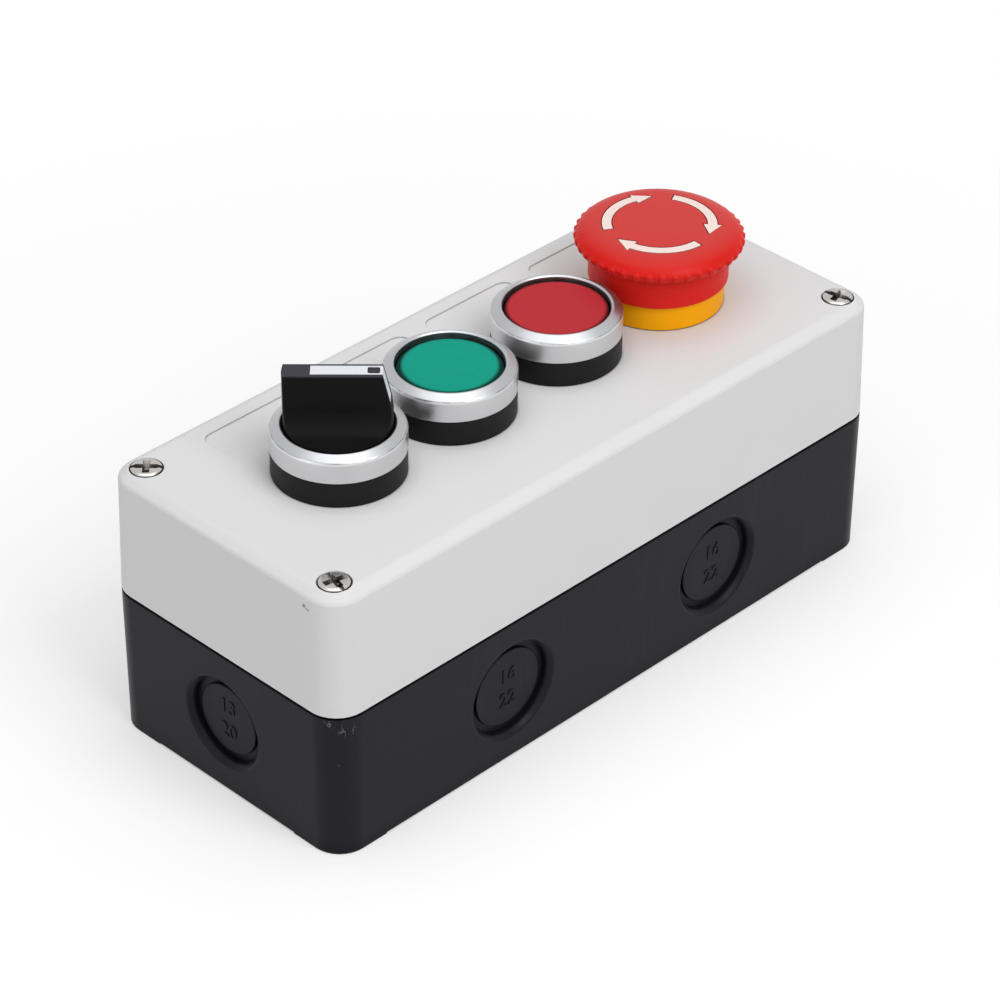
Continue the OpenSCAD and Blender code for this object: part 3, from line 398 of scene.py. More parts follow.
def metal(name, rgb, roughness, grain=0.6, depth=0.001, upper=None, shade_and_dirt_reach=0.4, ridge=None):
    """Plated, drawn or stamped metal whose gloss wanders a little."""
    material, add, place = start_material(name)
    haze = add(NOISE, {"Vector": place, "Scale": per_mm(3)})
    colours = {FACTOR: haze, FIRST: toned(rgb, 0.96), SECOND: toned(rgb, 1.04)}
    tone = add(MIX, colours, BLENDED, data_type="RGBA")
    if upper:
        tone = by_height(add, place, tone, *upper)
    if ridge:
        # A painted shade line 0.2 mm wide along the bezel's shoulder, broken up every 2 mm or so
        z = add("ShaderNodeSeparateXYZ", (place,), "Z")
        off = add(MATH, (add(MATH, (z, ridge), operation="SUBTRACT"),), operation="ABSOLUTE")
        line = add(RANGE, (off, 0.03 * MM, 0.1 * MM, 1.0, 0.0))
        breaks = add(NOISE, {"Vector": place, "Scale": per_mm(2.0)})
        kept = add(RANGE, (breaks, 0.4, 0.6, 0.15, 0.8))
        shoulder_shade_line = add(MATH, (line, kept), operation="MULTIPLY")
        colours = {FACTOR: shoulder_shade_line, FIRST: tone, SECOND: toned(rgb, 0.12)}
        tone = add(MIX, colours, BLENDED, data_type="RGBA")
    surface = add(PRINCIPLED, {
        # Painted shade: the colour darkens where joints and recesses close in
        "Base Color": shade_and_dirt_in_joints(add, tone, toned(rgb, 0.15), shade_and_dirt_reach),
        "Metallic": 1.0,
        "Roughness": add(RANGE, (haze, *MIDDLE, roughness - WANDER, roughness + WANDER)),
        "Normal": grained(add, place, grain, depth)})
    return end_material(material, add, surface)


def lens_plastic(name, rgb, centre_x, face_radius):
    """Translucent acrylic: bright where the diffuser backs it, with painted shade that darkens the skirt."""
    material, add, place = start_material(name)
    flat = add("ShaderNodeMapping", {
        "Vector": place, "Location": (-centre_x, 0.0, 0.0), "Scale": (1.0, 1.0, 0.0)})
    reach = add(VECTOR_MATH, (flat,), 1, operation="LENGTH")
    # Painted shade: the skirt beyond the bright face darkens to nearly black
    deep = add(RANGE, (reach, face_radius - 0.8 * MM, face_radius + 0.3 * MM),
               interpolation_type="SMOOTHSTEP")
    # Turning marks of the mould, drawn 1.7 mm apart so that they show
    angle = add(MATH, (reach, math.tau / (1.7 * MM)), operation="MULTIPLY")
    rings = add(RANGE, (add(MATH, (angle,), operation="SINE"), -1.0, 1.0, 0.0, 1.0))
    colours = {FACTOR: rings, FIRST: toned(rgb, 0.985), SECOND: toned(rgb, 1.015)}
    face = add(MIX, colours, BLENDED, data_type="RGBA")
    cloud = add(NOISE, {"Vector": place, "Scale": per_mm(4), "Detail": 3.0})
    colours = {FACTOR: cloud, FIRST: toned(rgb, 0.88), SECOND: toned(rgb, 1.12)}
    cloudy = add(MIX, colours, BLENDED, data_type="RGBA")
    bright = add(MIX, {FACTOR: 0.5, FIRST: face, SECOND: cloudy}, BLENDED, data_type="RGBA")
    colours = {FACTOR: deep, FIRST: bright, SECOND: toned(rgb, 0.12)}
    surface = add(PRINCIPLED, {
        "Base Color": add(MIX, colours, BLENDED, data_type="RGBA"),
        "Roughness": 0.36,
        "IOR": 1.49,
        "Specular IOR Level": 0.06,
        "Normal": grained(add, place, 0.7, 0.01)})
    return end_material(material, add, surface)


# Mesh tools


def in_order(bm):
    """Sorts a mesh by place, because spin and extrude leave a new order of faces each run."""
    for parts, place in (
        (bm.verts, lambda v: v.co[:]),
        (bm.edges, lambda e: sorted(v.co[:] for v in e.verts)),
        (bm.faces, lambda f: sorted(v.co[:] for v in f.verts)),
    ):
        rank = {part: i for i, part in enumerate(sorted(parts, key=place))}
        parts.sort(key=rank.get)


def turned(points, rounds=(), steps=TURN_STEPS):
    """A closed section of (radius, height) points, rounded at chosen corners and turned."""
    bm = bmesh.new()
    corners = [bm.verts.new((radius, 0.0, height)) for radius, height in points]
    bm.faces.new(corners)
    for width, which in rounds:
        bmesh.ops.bevel(
            bm, geom=[corners[i] for i in which], offset=width, offset_type="OFFSET", segments=4,
            profile=0.5, affect="VERTICES", material=-1,
        )
    bmesh.ops.delete(bm, geom=bm.faces[:], context="FACES_ONLY")
    on_axis = [e for e in bm.edges if all(abs(v.co.x) < CLOSE for v in e.verts)]
    bmesh.ops.delete(bm, geom=on_axis, context="EDGES")
    bmesh.ops.spin(
        bm, geom=bm.verts[:] + bm.edges[:], cent=(0, 0, 0), axis=(0, 0, 1),
        angle=math.tau, steps=steps, use_merge=True,
    )
    bmesh.ops.remove_doubles(bm, verts=bm.verts[:], dist=CLOSE)
    bmesh.ops.recalc_face_normals(bm, faces=bm.faces[:])
    return bm


def moved(bm, x=0.0, y=0.0, z=0.0):
    """The same mesh, moved."""
    bmesh.ops.translate(bm, verts=bm.verts[:], vec=(x, y, z))
    return bm


def at_station(bm, name):
    """Moves a mesh drawn round the axis, from its panel height, to a station."""
    return moved(bm, STATION_X[name], 0.0, PANEL_Z)


def shell(levels, length_x, width_y, corner):
    """Walls through rounded outlines at (height, inset), with a face at both ends."""
    bm = bmesh.new()
    made = bmesh.ops.create_grid(
        bm, x_segments=1, y_segments=1, size=0.5, matrix=Matrix.Diagonal((length_x, width_y, 1, 1)))
    bmesh.ops.bevel(
        bm, geom=made["verts"], offset=corner, offset_type="OFFSET", segments=CORNER_STEPS,
        profile=0.5, affect="VERTICES", material=-1,
    )
    loops = []
    radius = corner
    for z, inset in levels:
        loop = bm.edges[:]
        if loops:
            grown = bmesh.ops.extrude_edge_only(bm, edges=loops[-1])["geom"]
            fresh = {v for v in grown if isinstance(v, bmesh.types.BMVert)}
            new_edges = (e for e in grown if isinstance(e, bmesh.types.BMEdge))
            loop = [e for e in new_edges if fresh.issuperset(e.verts)]
        for v in {v for e in loop for v in e.verts}:
            x = math.copysign(length_x / 2 - corner, v.co.x)
            y = math.copysign(width_y / 2 - corner, v.co.y)
            grow = (corner - inset) / radius
            v.co = (x + (v.co.x - x) * grow, y + (v.co.y - y) * grow, z)
        radius = corner - inset
        loops.append(loop)
    bmesh.ops.edgeloop_fill(bm, edges=loops[-1])
    bmesh.ops.recalc_face_normals(bm, faces=bm.faces[:])
    return bm, loops


def soften(bm, edges, width, steps):
    """Rounds edges."""
    bmesh.ops.bevel(
        bm, geom=edges, offset=width, offset_type="OFFSET", segments=steps,
        profile=0.5, affect="EDGES", material=-1, loop_slide=True)


def block(size, centre):
    """A box in a mesh of its own."""
    bm = bmesh.new()
    place = Matrix.Translation(centre) @ Matrix.Diagonal((*size, 1))
    bmesh.ops.create_cube(bm, size=1.0, matrix=place)
    return bm


def rod(radius, low, high, steps=48):
    """An upright cylinder in a mesh of its own."""
    bm = bmesh.new()
    bmesh.ops.create_cone(
        bm, cap_ends=True, segments=steps, radius1=radius, radius2=radius, depth=high - low,
        matrix=Matrix.Translation((0, 0, (low + high) / 2)))
    return bm


def joined(meshes):
    """Several meshes as one; the given ones are used up."""
    whole = bmesh.new()
    for part in meshes:
        data = bpy.data.meshes.new("part")
        part.to_mesh(data)
        part.free()
        whole.from_mesh(data)
        bpy.data.meshes.remove(data)
    return whole


def to_object(name, bm):
    """A mesh as an object in the scene; the mesh is used up."""
    in_order(bm)
    data = bpy.data.meshes.new(name)
    bm.to_mesh(data)
    bm.free()
    obj = bpy.data.objects.new(name, data)
    bpy.context.scene.collection.objects.link(obj)
    return obj


def from_object(obj):
    """An object's mesh to work on; the object is used up."""
    bm = bmesh.new()
    bm.from_mesh(obj.data)
    bpy.data.objects.remove(obj)
    return bm


def keep_modified(obj):
    """Makes what an object's modifiers show its own mesh."""
    shaped = obj.evaluated_get(bpy.context.evaluated_depsgraph_get())
    data = bpy.data.meshes.new_from_object(shaped)
    old = obj.data
    obj.modifiers.clear()
    obj.data = data
    bpy.data.meshes.remove(old)
    data.name = obj.name


def carve(obj, bm, operation="DIFFERENCE"):
    """Takes a mesh away from an object, or adds it."""
    tool = to_object("tool", bm)
    modifier = obj.modifiers.new("carve", "BOOLEAN")
    modifier.operation = operation
    modifier.solver = "EXACT"
    modifier.object = tool
    keep_modified(obj)
    bpy.data.objects.remove(tool)


def coat(data, material):
    """Gives a mesh that one material."""
    data.materials.clear()
    data.materials.append(material)


def dress(obj, material, body, slot, *nodes, crease=35.0):
    """Shades a new piece, gives it its material, ties it to its body and hides the CAD nodes it stands for."""
    if not obj.data.polygons:
        raise RuntimeError(f"{obj.name} has no faces")
    coat(obj.data, material)
    obj.data.shade_smooth()
    obj.data.set_sharp_from_angle(angle=math.radians(crease))
    modifier = obj.modifiers.new("even shading", "WEIGHTED_NORMAL")
    modifier.keep_sharp = True
    keep_modified(obj)
    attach(obj, body)
    if nodes:
        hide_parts(*nodes)
    return obj


def soft_copy(node, name, edge, pocket=0.0):
    """A copy of a CAD node, its doubles merged, its pocket's corners and sharp edges rounded."""
    bm = bmesh.new()
    bm.from_mesh(frame["nodes"][node].data)
    bmesh.ops.remove_doubles(bm, verts=bm.verts[:], dist=2 * CLOSE)
    bmesh.ops.dissolve_limit(
        bm, angle_limit=math.radians(0.5), use_dissolve_boundaries=False,
        verts=bm.verts[:], edges=bm.edges[:])
    if pocket:
        upright = [e for e in bm.edges if (e.verts[0].co.xy - e.verts[1].co.xy).length < CLOSE]
        soften(bm, [e for e in upright if e.is_manifold and not e.is_convex], pocket, 5)
    obj = to_object(name, bm)
    modifier = obj.modifiers.new("soft edges", "BEVEL")
    modifier.width = edge
    modifier.segments = 3
    modifier.limit_method = "ANGLE"
    modifier.angle_limit = math.radians(35)
    keep_modified(obj)
    return obj


# The case


def screw_places(sizes):
    """Where the four cover screws stand."""
    x = BOX_X / 2 - sizes.screw_inset
    y = BOX_Y / 2 - sizes.screw_inset
    return [(sx * x, sy * y) for sx in (-1, 1) for sy in (-1, 1)]


class CONTROLBOX_OT_cover(bpy.types.Operator):
    """Make the light grey cover with its sloping edge, name recesses and device holes"""

    bl_idname = "controlbox.cover"
    bl_label = "Cover"

    def execute(self, context):
        s = context.scene.box_sizes
        rim = SEAM_Z + s.seam
        step = SEAM_Z + s.rebate_height
        ceiling = PANEL_Z - s.floor
        seat = PANEL_Z - s.screw_seat
        over = PANEL_Z + MM
        levels = [
            (PANEL_Z, s.cover_lean + s.edge_width), (PANEL_Z - s.edge_height, s.cover_lean),
            (rim, 0.0), (rim, s.rebate), (step, s.rebate), (step, s.wall), (ceiling, s.wall),
        ]
        bm, loops = shell(levels, BOX_X, BOX_Y, s.corner)
        soften(bm, loops[0] + loops[1], s.soft_edge, 4)
        cover = to_object("cover_shell", bm)
        # A boss is slim where it passes the base's tongue and wide above it
        widening = step + 0.2 * MM
        boss = [
            (0.0, SEAM_Z), (s.slim_boss, SEAM_Z), (s.slim_boss, widening), (s.boss, widening),
            (s.boss, ceiling + MM), (0.0, ceiling + MM),
        ]
        # A screw's hole flares at 45 degrees from a little below the panel's face
        under, flare = SEAM_Z - MM, 1.15 * MM
        hole = [
            (0.0, under), (s.shank_room, under), (s.shank_room, seat), (s.screw_room, seat),
            (s.screw_room, PANEL_Z - 0.15 * MM), (s.screw_room + flare, over), (0.0, over),
        ]
        places = screw_places(s)
        carve(cover, joined([moved(turned(boss, steps=48), x, y) for x, y in places]), "UNION")
        cuts = [moved(turned(hole, steps=48), x, y) for x, y in places]
        recess_levels = [(PANEL_Z - s.label_depth, 0.0), (over, 0.0)]
        for x in STATION_X.values():
            cuts.append(moved(rod(s.panel_hole, ceiling - MM, over, TURN_STEPS), x))
            recess = shell(recess_levels, s.label_length, s.label_width, s.label_corner)[0]
            cuts.append(moved(recess, x, s.label_near + s.label_width / 2))
        carve(cover, joined(cuts))
        # A nick with a short tail on the end wall, as dark dots of these reaches in millimetres
        nick = Vector((BOX_LOW.x + 0.5 * MM, BOX_LOW.y + 9.5 * MM, PANEL_Z - 4.1 * MM))
        tail = Vector((0.0, -1.4 * MM, -0.7 * MM))
        marks = [
            (nick + along * tail, reach)
            for along, reach in ((0.0, 0.6), (0.5, 0.3), (0.75, 0.35), (1.0, 0.25))]
        # Polycarbonate blend, moulded with a fine texture: soft, broad highlights on light grey
        light_grey = context.scene.finishes.cover
        material = plastic(
            "cover_moulded_polycarbonate", light_grey, 0.55, mottle=0.012, marks=marks)
        dress(cover, material, "housing", "cover_plastic", "cover")
        return {"FINISHED"}


def wall_frames(s):
    """Each knock-out's disc radius, with the frame whose Z leaves the leaning wall."""
    k = bpy.context.scene.knock_out_sizes
    lean = math.atan2(s.base_lean, SEAM_Z - s.foot)
    z = SEAM_Z / 2
    sink = math.tan(lean) * (SEAM_Z - z)
    frames = []
    for side in (-1, 1):
        for radius, away, centre in (
            (k.side_radius, (0, side), (-k.side_x, side * (BOX_Y / 2 - sink))),
            (k.side_radius, (0, side), (k.side_x, side * (BOX_Y / 2 - sink))),
            (k.end_radius, (side, 0), (side * (BOX_X / 2 - sink), 0)),
        ):
            out = Vector((away[0] * math.cos(lean), away[1] * math.cos(lean), -math.sin(lean)))
            right = Vector((0, 0, 1)).cross(out).normalized()
            place = Matrix((right, out.cross(right), out)).transposed().to_4x4()
            frames.append((radius, Matrix.Translation((*centre, z)) @ place))
    return frames


class CONTROLBOX_OT_base(bpy.types.Operator):
    """Make the charcoal base with its feet and knock-outs"""

    bl_idname = "controlbox.base"
    bl_label = "Base"

    def execute(self, context):
        s = context.scene.box_sizes
        k = context.scene.knock_out_sizes
        edge = 0.25 * MM
        thread_depth = 15 * MM
        floor = s.foot + s.floor
        top = SEAM_Z + s.tongue
        levels = [
            (0.0, s.base_lean + edge), (edge, s.base_lean), (SEAM_Z, 0.0),
            (SEAM_Z, s.tongue_outer), (top, s.tongue_outer),
            (top, s.tongue_inner), (SEAM_Z, s.tongue_inner), (SEAM_Z, s.wall), (floor, s.wall),
        ]
        bm, loops = shell(levels, BOX_X, BOX_Y, s.corner)
        soften(bm, loops[2], edge, 3)
        base = to_object("base_shell", bm)
        places = screw_places(s)
        bosses = [moved(rod(s.boss, floor - MM, SEAM_Z), x, y) for x, y in places]
        carve(base, joined(bosses), "UNION")
        carve(base, block((BOX_X - 2 * s.foot_length, 2 * BOX_Y, 2 * s.foot), (0, 0, 0)))
        carve(base, block((2 * BOX_X, BOX_Y - 2 * s.foot_length, 2 * s.foot), (0, 0, 0)))
        cuts = [
            moved(rod(s.thread_hole, SEAM_Z - thread_depth, SEAM_Z + MM, 32), x, y)
            for x, y in places]
        for sx in (-1, 1):
            for sy in (-1, 1):
                hole = rod(s.fix_hole, -MM, floor + MM)
                cuts.append(moved(hole, sx * s.fix_length / 2, sy * s.fix_width / 2))
        for radius, place in wall_frames(s):
            groove = radius + k.groove
            lip = groove + k.lip
            # The lip turns out to the wall in two easy steps, and its foot is a straight wall
            points = [
                (0.0, MM), (lip + 1.4 * MM, MM), (lip + 0.45 * MM, 0.02 * MM),
                (lip - 0.05 * MM, -0.14 * MM), (groove, -1.2 * MM), (groove, -k.depth),
                (radius, -k.depth), (radius, -k.sink), (0.0, -k.sink),
            ]
            cut = turned(points, [(0.35 * MM, [3, 4]), (0.3 * MM, [7])])
            bmesh.ops.transform(cut, matrix=place, verts=cut.verts[:])
            cuts.append(cut)
        carve(base, joined(cuts))
        # Scratched places at the corner, measured from it in millimetres, and their reaches
        low = Vector((BOX_LOW.x, BOX_LOW.y, SEAM_Z))
        scuffed = [
            (low + Vector(away) * MM, reach) for away, reach in (
                ((1.0, 3.6, -1.4), 1.7), ((4.0, 0.9, -2.5), 2.4), ((2.2, 2.2, -12.2), 0.7))
        ]
        # Filled plastic, moulded smooth: dark with a soft sheen, and pale where it was handled, the pale streaks
        # also a painted sheen
        material = sheen_and_rubs_plastic("base_moulded_abs", context.scene.finishes.base, 0.36, scuffed)
        dress(base, material, "housing", "base_plastic", "base_box")
        self.make_figures(s, k, material)
        return {"FINISHED"}

    @staticmethod
    def make_figures(s, k, material):
        """Raise two plain numbers on each disc."""
        parts = []
        # The figures' middles lie this share of their height above and below the disc's middle
        lifts = (0.62, -0.62)
        for radius, place in wall_frames(s):
            words = ("16", "22") if radius == k.side_radius else ("13", "20")
            for word, lift in zip(words, lifts):
                text = bpy.data.curves.new("figure", "FONT")
                text.body = word
                text.size = k.figure
                text.align_x = "CENTER"
                text.align_y = "CENTER"
                text.extrude = k.figure_rise
                holder = bpy.data.objects.new("figure", text)
                data = bpy.data.meshes.new_from_object(holder)
                data.transform(place @ Matrix.Translation((0, lift * k.figure, -k.sink)))
                part = bmesh.new()
                part.from_mesh(data)
                bmesh.ops.remove_doubles(part, verts=part.verts[:], dist=CLOSE)
                bmesh.ops.recalc_face_normals(part, faces=part.faces[:])
                parts.append(part)
                bpy.data.objects.remove(holder)
                bpy.data.curves.remove(text)
                bpy.data.meshes.remove(data)
        figures = to_object("knock_out_figures", joined(parts))
        dress(figures, material, "housing", "base_plastic")


class CONTROLBOX_OT_screws(bpy.types.Operator):
    """Make the four cover screws, each with a slot and a cross"""

    bl_idname = "controlbox.screws"
    bl_label = "Cover screws"

    def execute(self, context):
        s = context.scene.box_sizes
        low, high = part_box("cover_screws")
        foot, proud = low.z - PANEL_Z, high.z - PANEL_Z
        head, shank = 3.5 * MM, 2 * MM
        # Length, width and twice the depth of the slot and of a cross arm, which narrows down
        slot = (3 * head, 1.0 * MM, 1.7 * MM)
        cross = (6.8 * MM, 2.2 * MM, 3.0 * MM)
        cross_taper = (0.5, 0.45, 1.0)
        pit_radius, pit_depth = 0.8 * MM, 1.9 * MM
        points = [
            (0.0, foot), (shank - 0.8 * MM, foot), (shank, foot + 1.5 * MM),
            (shank, -s.screw_seat), (head, -s.screw_seat), (head, proud - 0.4 * MM),
            (0.84 * head, proud - 0.05 * MM), (0.0, proud),
        ]
        screw = to_object("screw", turned(points, [(0.15 * MM, [5]), (0.4 * MM, [6])], 48))
        carve(screw, block(slot, (0, 0, proud)))
        for quarter in (0, 1):
            arm = block(cross, (0, 0, proud))
            foot_verts = [v for v in arm.verts if v.co.z < proud]
            bmesh.ops.scale(arm, vec=cross_taper, verts=foot_verts)
            turn = Matrix.Rotation(quarter * math.pi / 2, 3, "Z")
            bmesh.ops.rotate(arm, matrix=turn, verts=arm.verts[:])
            carve(screw, arm)
        carve(screw, rod(pit_radius, proud - pit_depth, proud + MM, 16))
        drawn = from_object(screw)
        screws = []
        # Each screw stopped at its own angle, as the photograph shows
        for (x, y), degrees in zip(screw_places(s), (77.0, -45.0, 102.0, 26.0)):
            bm = drawn.copy()
            turn = Matrix.Rotation(math.radians(degrees), 3, "Z")
            bmesh.ops.rotate(bm, matrix=turn, verts=bm.verts[:])
            screws.append(moved(bm, x, y, PANEL_Z))
        drawn.free()
        # Steel, nickel plated after heading: warm grey, bright and a little hazy
        # Painted shade: the recess round each head and its cross are darkened
        material = metal(
            "screw_nickel_plated_steel", context.scene.finishes.screws, 0.24, shade_and_dirt_reach=2.4)
        screw_set = to_object("cover_screw_set", joined(screws))
        dress(screw_set, material, "housing", "screw_steel", "cover_screws")
        return {"FINISHED"}


# The devices


class CONTROLBOX_OT_rings(bpy.types.Operator):
    """Make the black bodies whose rings stand under the bezels"""

    bl_idname = "controlbox.rings"
    bl_label = "Device bodies"

    def execute(self, context):
        s = context.scene.device_sizes
        # Nylon, moulded with a fine spark texture: black, nearly without highlights
        material = plastic(
            "device_moulded_nylon", context.scene.finishes.ring, 0.5,
            depth=0.03, mottle=0.15, specular=0.15)
        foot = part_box("green_body")[0].z - PANEL_Z
        spigot = s.window + 0.95 * MM
        spigot_top = s.bezel_step - 0.1 * MM
        seal_room = s.flange_radius - MM
        seal_top, cup_floor = 0.8 * MM, 1.5 * MM
        rotor, chamber, guide = 8.08 * MM, 9.2 * MM, 6.18 * MM
        guide_top = foot + 10 * MM
        button = [(chamber, cup_floor), (chamber, guide_top), (guide, guide_top), (guide, foot)]
        bores = {
            "selector": [(rotor, cup_floor), (rotor, foot)],
            "green": button,
            "red": button,
        }
        for name, bore in bores.items():
            points = [
                (s.barrel, foot), (s.barrel, seal_top), (seal_room, seal_top), (seal_room, 0.0),
                (s.flange_radius, 0.0), (s.flange_radius, s.flange_top), (spigot, s.flange_top),
                (spigot, spigot_top), (s.window, spigot_top), (s.window, cup_floor), *bore,
            ]
            bm = turned(points, [(0.2 * MM, [4, 5])], 128)
            ring = to_object(f"{name}_base_ring", at_station(bm, name))
            dress(ring, material, "housing", "device_black", f"{name}_body")
        coat(frame["nodes"]["stop_body"].data, material)
        return {"FINISHED"}


class CONTROLBOX_OT_bezels(bpy.types.Operator):
    """Make the three satin chrome bezels"""

    bl_idname = "controlbox.bezels"
    bl_label = "Bezels"

    def execute(self, context):
        s = context.scene.device_sizes
        # Chrome plate, bright on the wall, its slope painted darker as painted shade: blurred reflections
        finishes = context.scene.finishes
        shoulder = PANEL_Z + s.bezel_shoulder
        material = metal(
            "bezel_satin_chrome_plate", finishes.chrome, 0.34, depth=0.0003,
            upper=(finishes.chrome_slope_shade, shoulder - 0.2 * MM, shoulder + 0.15 * MM),
            ridge=shoulder + 0.05 * MM)
        seat = s.window + MM
        points = [
            (seat, s.flange_top), (s.bezel_radius, s.flange_top),
            (s.bezel_radius, s.bezel_shoulder), (s.window + 0.5 * MM, s.bezel_top),
            (s.window, s.bezel_top - 0.4 * MM), (s.window, s.bezel_step), (seat, s.bezel_step),
        ]
        rounds = [(0.12 * MM, [1]), (0.55 * MM, [2]), (0.3 * MM, [3]), (0.12 * MM, [4])]
        for name in ("selector", "green", "red"):
            bm = turned(points, rounds, 160)
            ring = to_object(f"{name}_bezel_ring", at_station(bm, name))
            dress(ring, material, "housing", "bezel_metal", f"{name}_bezel", crease=50.0)
        return {"FINISHED"}


class CONTROLBOX_OT_lenses(bpy.types.Operator):
    """Make the green and the red lens"""

    bl_idname = "controlbox.lenses"
    bl_label = "Lenses"

    def execute(self, context):
        s = context.scene.device_sizes
        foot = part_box("green_lens")[0].z - PANEL_Z
        under = s.lens_top - s.lens_wall
        inner = s.lens_radius - 1.2 * MM
        rounds = [(0.2 * MM, [4]), (0.2 * MM, [5]), (0.3 * MM, [6])]
        finishes = context.scene.finishes
        lenses = (("green", finishes.green, s.green_face), ("red", finishes.red, s.red_face))
        for name, rgb, face in lenses:
            points = [
                (0.0, under), (inner, under), (inner, foot), (s.lens_radius, foot),
                (s.lens_radius, s.lens_top - 0.75 * MM), (face + 0.4 * MM, s.lens_top - 0.35 * MM),
                (face, s.lens_top - 0.03 * MM), (0.0, s.lens_top),
            ]
            cap = to_object(f"{name}_lens_cap", at_station(turned(points, rounds), name))
            # Acrylic, moulded with a polished face: deep colour and one soft highlight
            material = lens_plastic(f"{name}_lens_moulded_acrylic", rgb, STATION_X[name], face)
            dress(cap, material, f"{name}_button", f"lens_{name}", f"{name}_lens", crease=60.0)
        return {"FINISHED"}


class CONTROLBOX_OT_knob(bpy.types.Operator):
    """Make the selector's knob and its white pointer"""

    bl_idname = "controlbox.knob"
    bl_label = "Selector knob"

    def execute(self, context):
        s = context.scene.device_sizes
        finishes = context.scene.finishes
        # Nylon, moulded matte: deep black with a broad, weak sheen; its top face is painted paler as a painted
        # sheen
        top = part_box("selector_grip")[1].z
        black = plastic(
            "knob_moulded_nylon", finishes.knob, 0.5, depth=0.03, mottle=0.2, specular=0.06,
            upper=(finishes.knob_top_sheen, top - 0.3 * MM, top - 0.05 * MM))
        knob = soft_copy("selector_grip", "selector_knob", s.knob_edge)
        dress(knob, black, "selector_rotor", "grip_black", "selector_grip")
        # White plastic insert, moulded smooth: clean and slightly glossy
        white = plastic("pointer_moulded_abs", finishes.pointer, 0.35, depth=0.008, mottle=0.01)
        bar = soft_copy("selector_pointer", "selector_pointer_bar", 0.1 * MM, 0.5 * MM)
        dress(bar, white, "selector_rotor", "pointer_white", "selector_pointer")
        return {"FINISHED"}


class CONTROLBOX_OT_stop_rings(bpy.types.Operator):
    """Make the yellow ring and the red collar under the stop head"""

    bl_idname = "controlbox.stop_rings"
    bl_label = "Stop rings"

    def execute(self, context):
        s = context.scene.stop_sizes
        finishes = context.scene.finishes
        points = [
            (s.core, 0.0), (s.ring_radius, 0.0),
            (s.ring_radius, s.ring_top), (s.core, s.ring_top),
        ]
        bm = turned(points, [(0.25 * MM, [1, 2])], 128)
        ring = to_object("stop_yellow_ring", at_station(bm, "stop"))
        # Plastic, moulded smooth: strong yellow with a soft highlight
        yellow = plastic("ring_moulded_abs", finishes.yellow, 0.42, mottle=0.02, specular=0.1)
        dress(ring, yellow, "housing", "ring_yellow", "stop_ring")
        # The collar is a little slimmer below, and widens over the middle of its height
        low, high = s.ring_top, s.collar_top
        slim = s.collar_radius - 0.25 * MM
        points = [
            (s.core, low), (slim, low), (slim, low + 2.6 * MM),
            (s.collar_radius, low + 4.6 * MM), (s.collar_radius, high), (s.core, high),
        ]
        bm = turned(points, [(0.25 * MM, [1]), (0.4 * MM, [2, 3]), (1.0 * MM, [4])], 128)
        collar = to_object("stop_red_collar", at_station(bm, "stop"))
        # Plastic, moulded smooth like the head: saturated red with a soft highlight
        red = plastic("collar_moulded_abs", finishes.collar, 0.42, mottle=0.04, specular=0.12)
        dress(collar, red, "housing", "collar_red", "stop_collar")
        return {"FINISHED"}


def arrow_cutters(s, low, high):
    """The three curved arrows as one mesh between two heights, grown by the gap round them."""
    whole = []
    gap = s.arrow_gap
    inner = s.arrow_radius - s.arrow_width / 2 - gap
    outer = s.arrow_radius + s.arrow_width / 2 + gap
    # Directions, from +X, of an arrow's tail, of the foot of its head and of its tip
    margin = gap / s.arrow_radius
    tail = math.radians(148) + margin
    neck = math.radians(72) + margin
    tip = math.radians(52) - 2 * margin
    for third in range(3):
        bm = bmesh.new()
        ends = [bm.verts.new((r * math.cos(tail), r * math.sin(tail), low)) for r in (inner, outer)]
        edge = bm.edges.new(ends)
        made = bmesh.ops.spin(
            bm, geom=[*ends, edge], cent=(0, 0, 0), axis=(0, 0, 1), angle=neck - tail, steps=20)
        close = [v for v in made["geom_last"] if isinstance(v, bmesh.types.BMVert)]
        close.sort(key=lambda v: v.co.xy.length)
        barbs = [
            bm.verts.new((r * math.cos(neck), r * math.sin(neck), low))
            for r in (inner - s.arrow_barb, outer + s.arrow_barb)]
        point = bm.verts.new((s.arrow_radius * math.cos(tip), s.arrow_radius * math.sin(tip), low))
        bm.faces.new([barbs[0], close[0], close[1], barbs[1], point])
        made = bmesh.ops.extrude_face_region(bm, geom=bm.faces[:], use_keep_orig=True)
        lifted = [v for v in made["geom"] if isinstance(v, bmesh.types.BMVert)]
        bmesh.ops.translate(bm, vec=(0, 0, high - low), verts=lifted)
        bmesh.ops.recalc_face_normals(bm, faces=bm.faces[:])
        turn = Matrix.Rotation(math.radians(120 * third), 3, "Z")
        bmesh.ops.rotate(bm, matrix=turn, verts=bm.verts[:])
        whole.append(bm)
    return joined(whole)


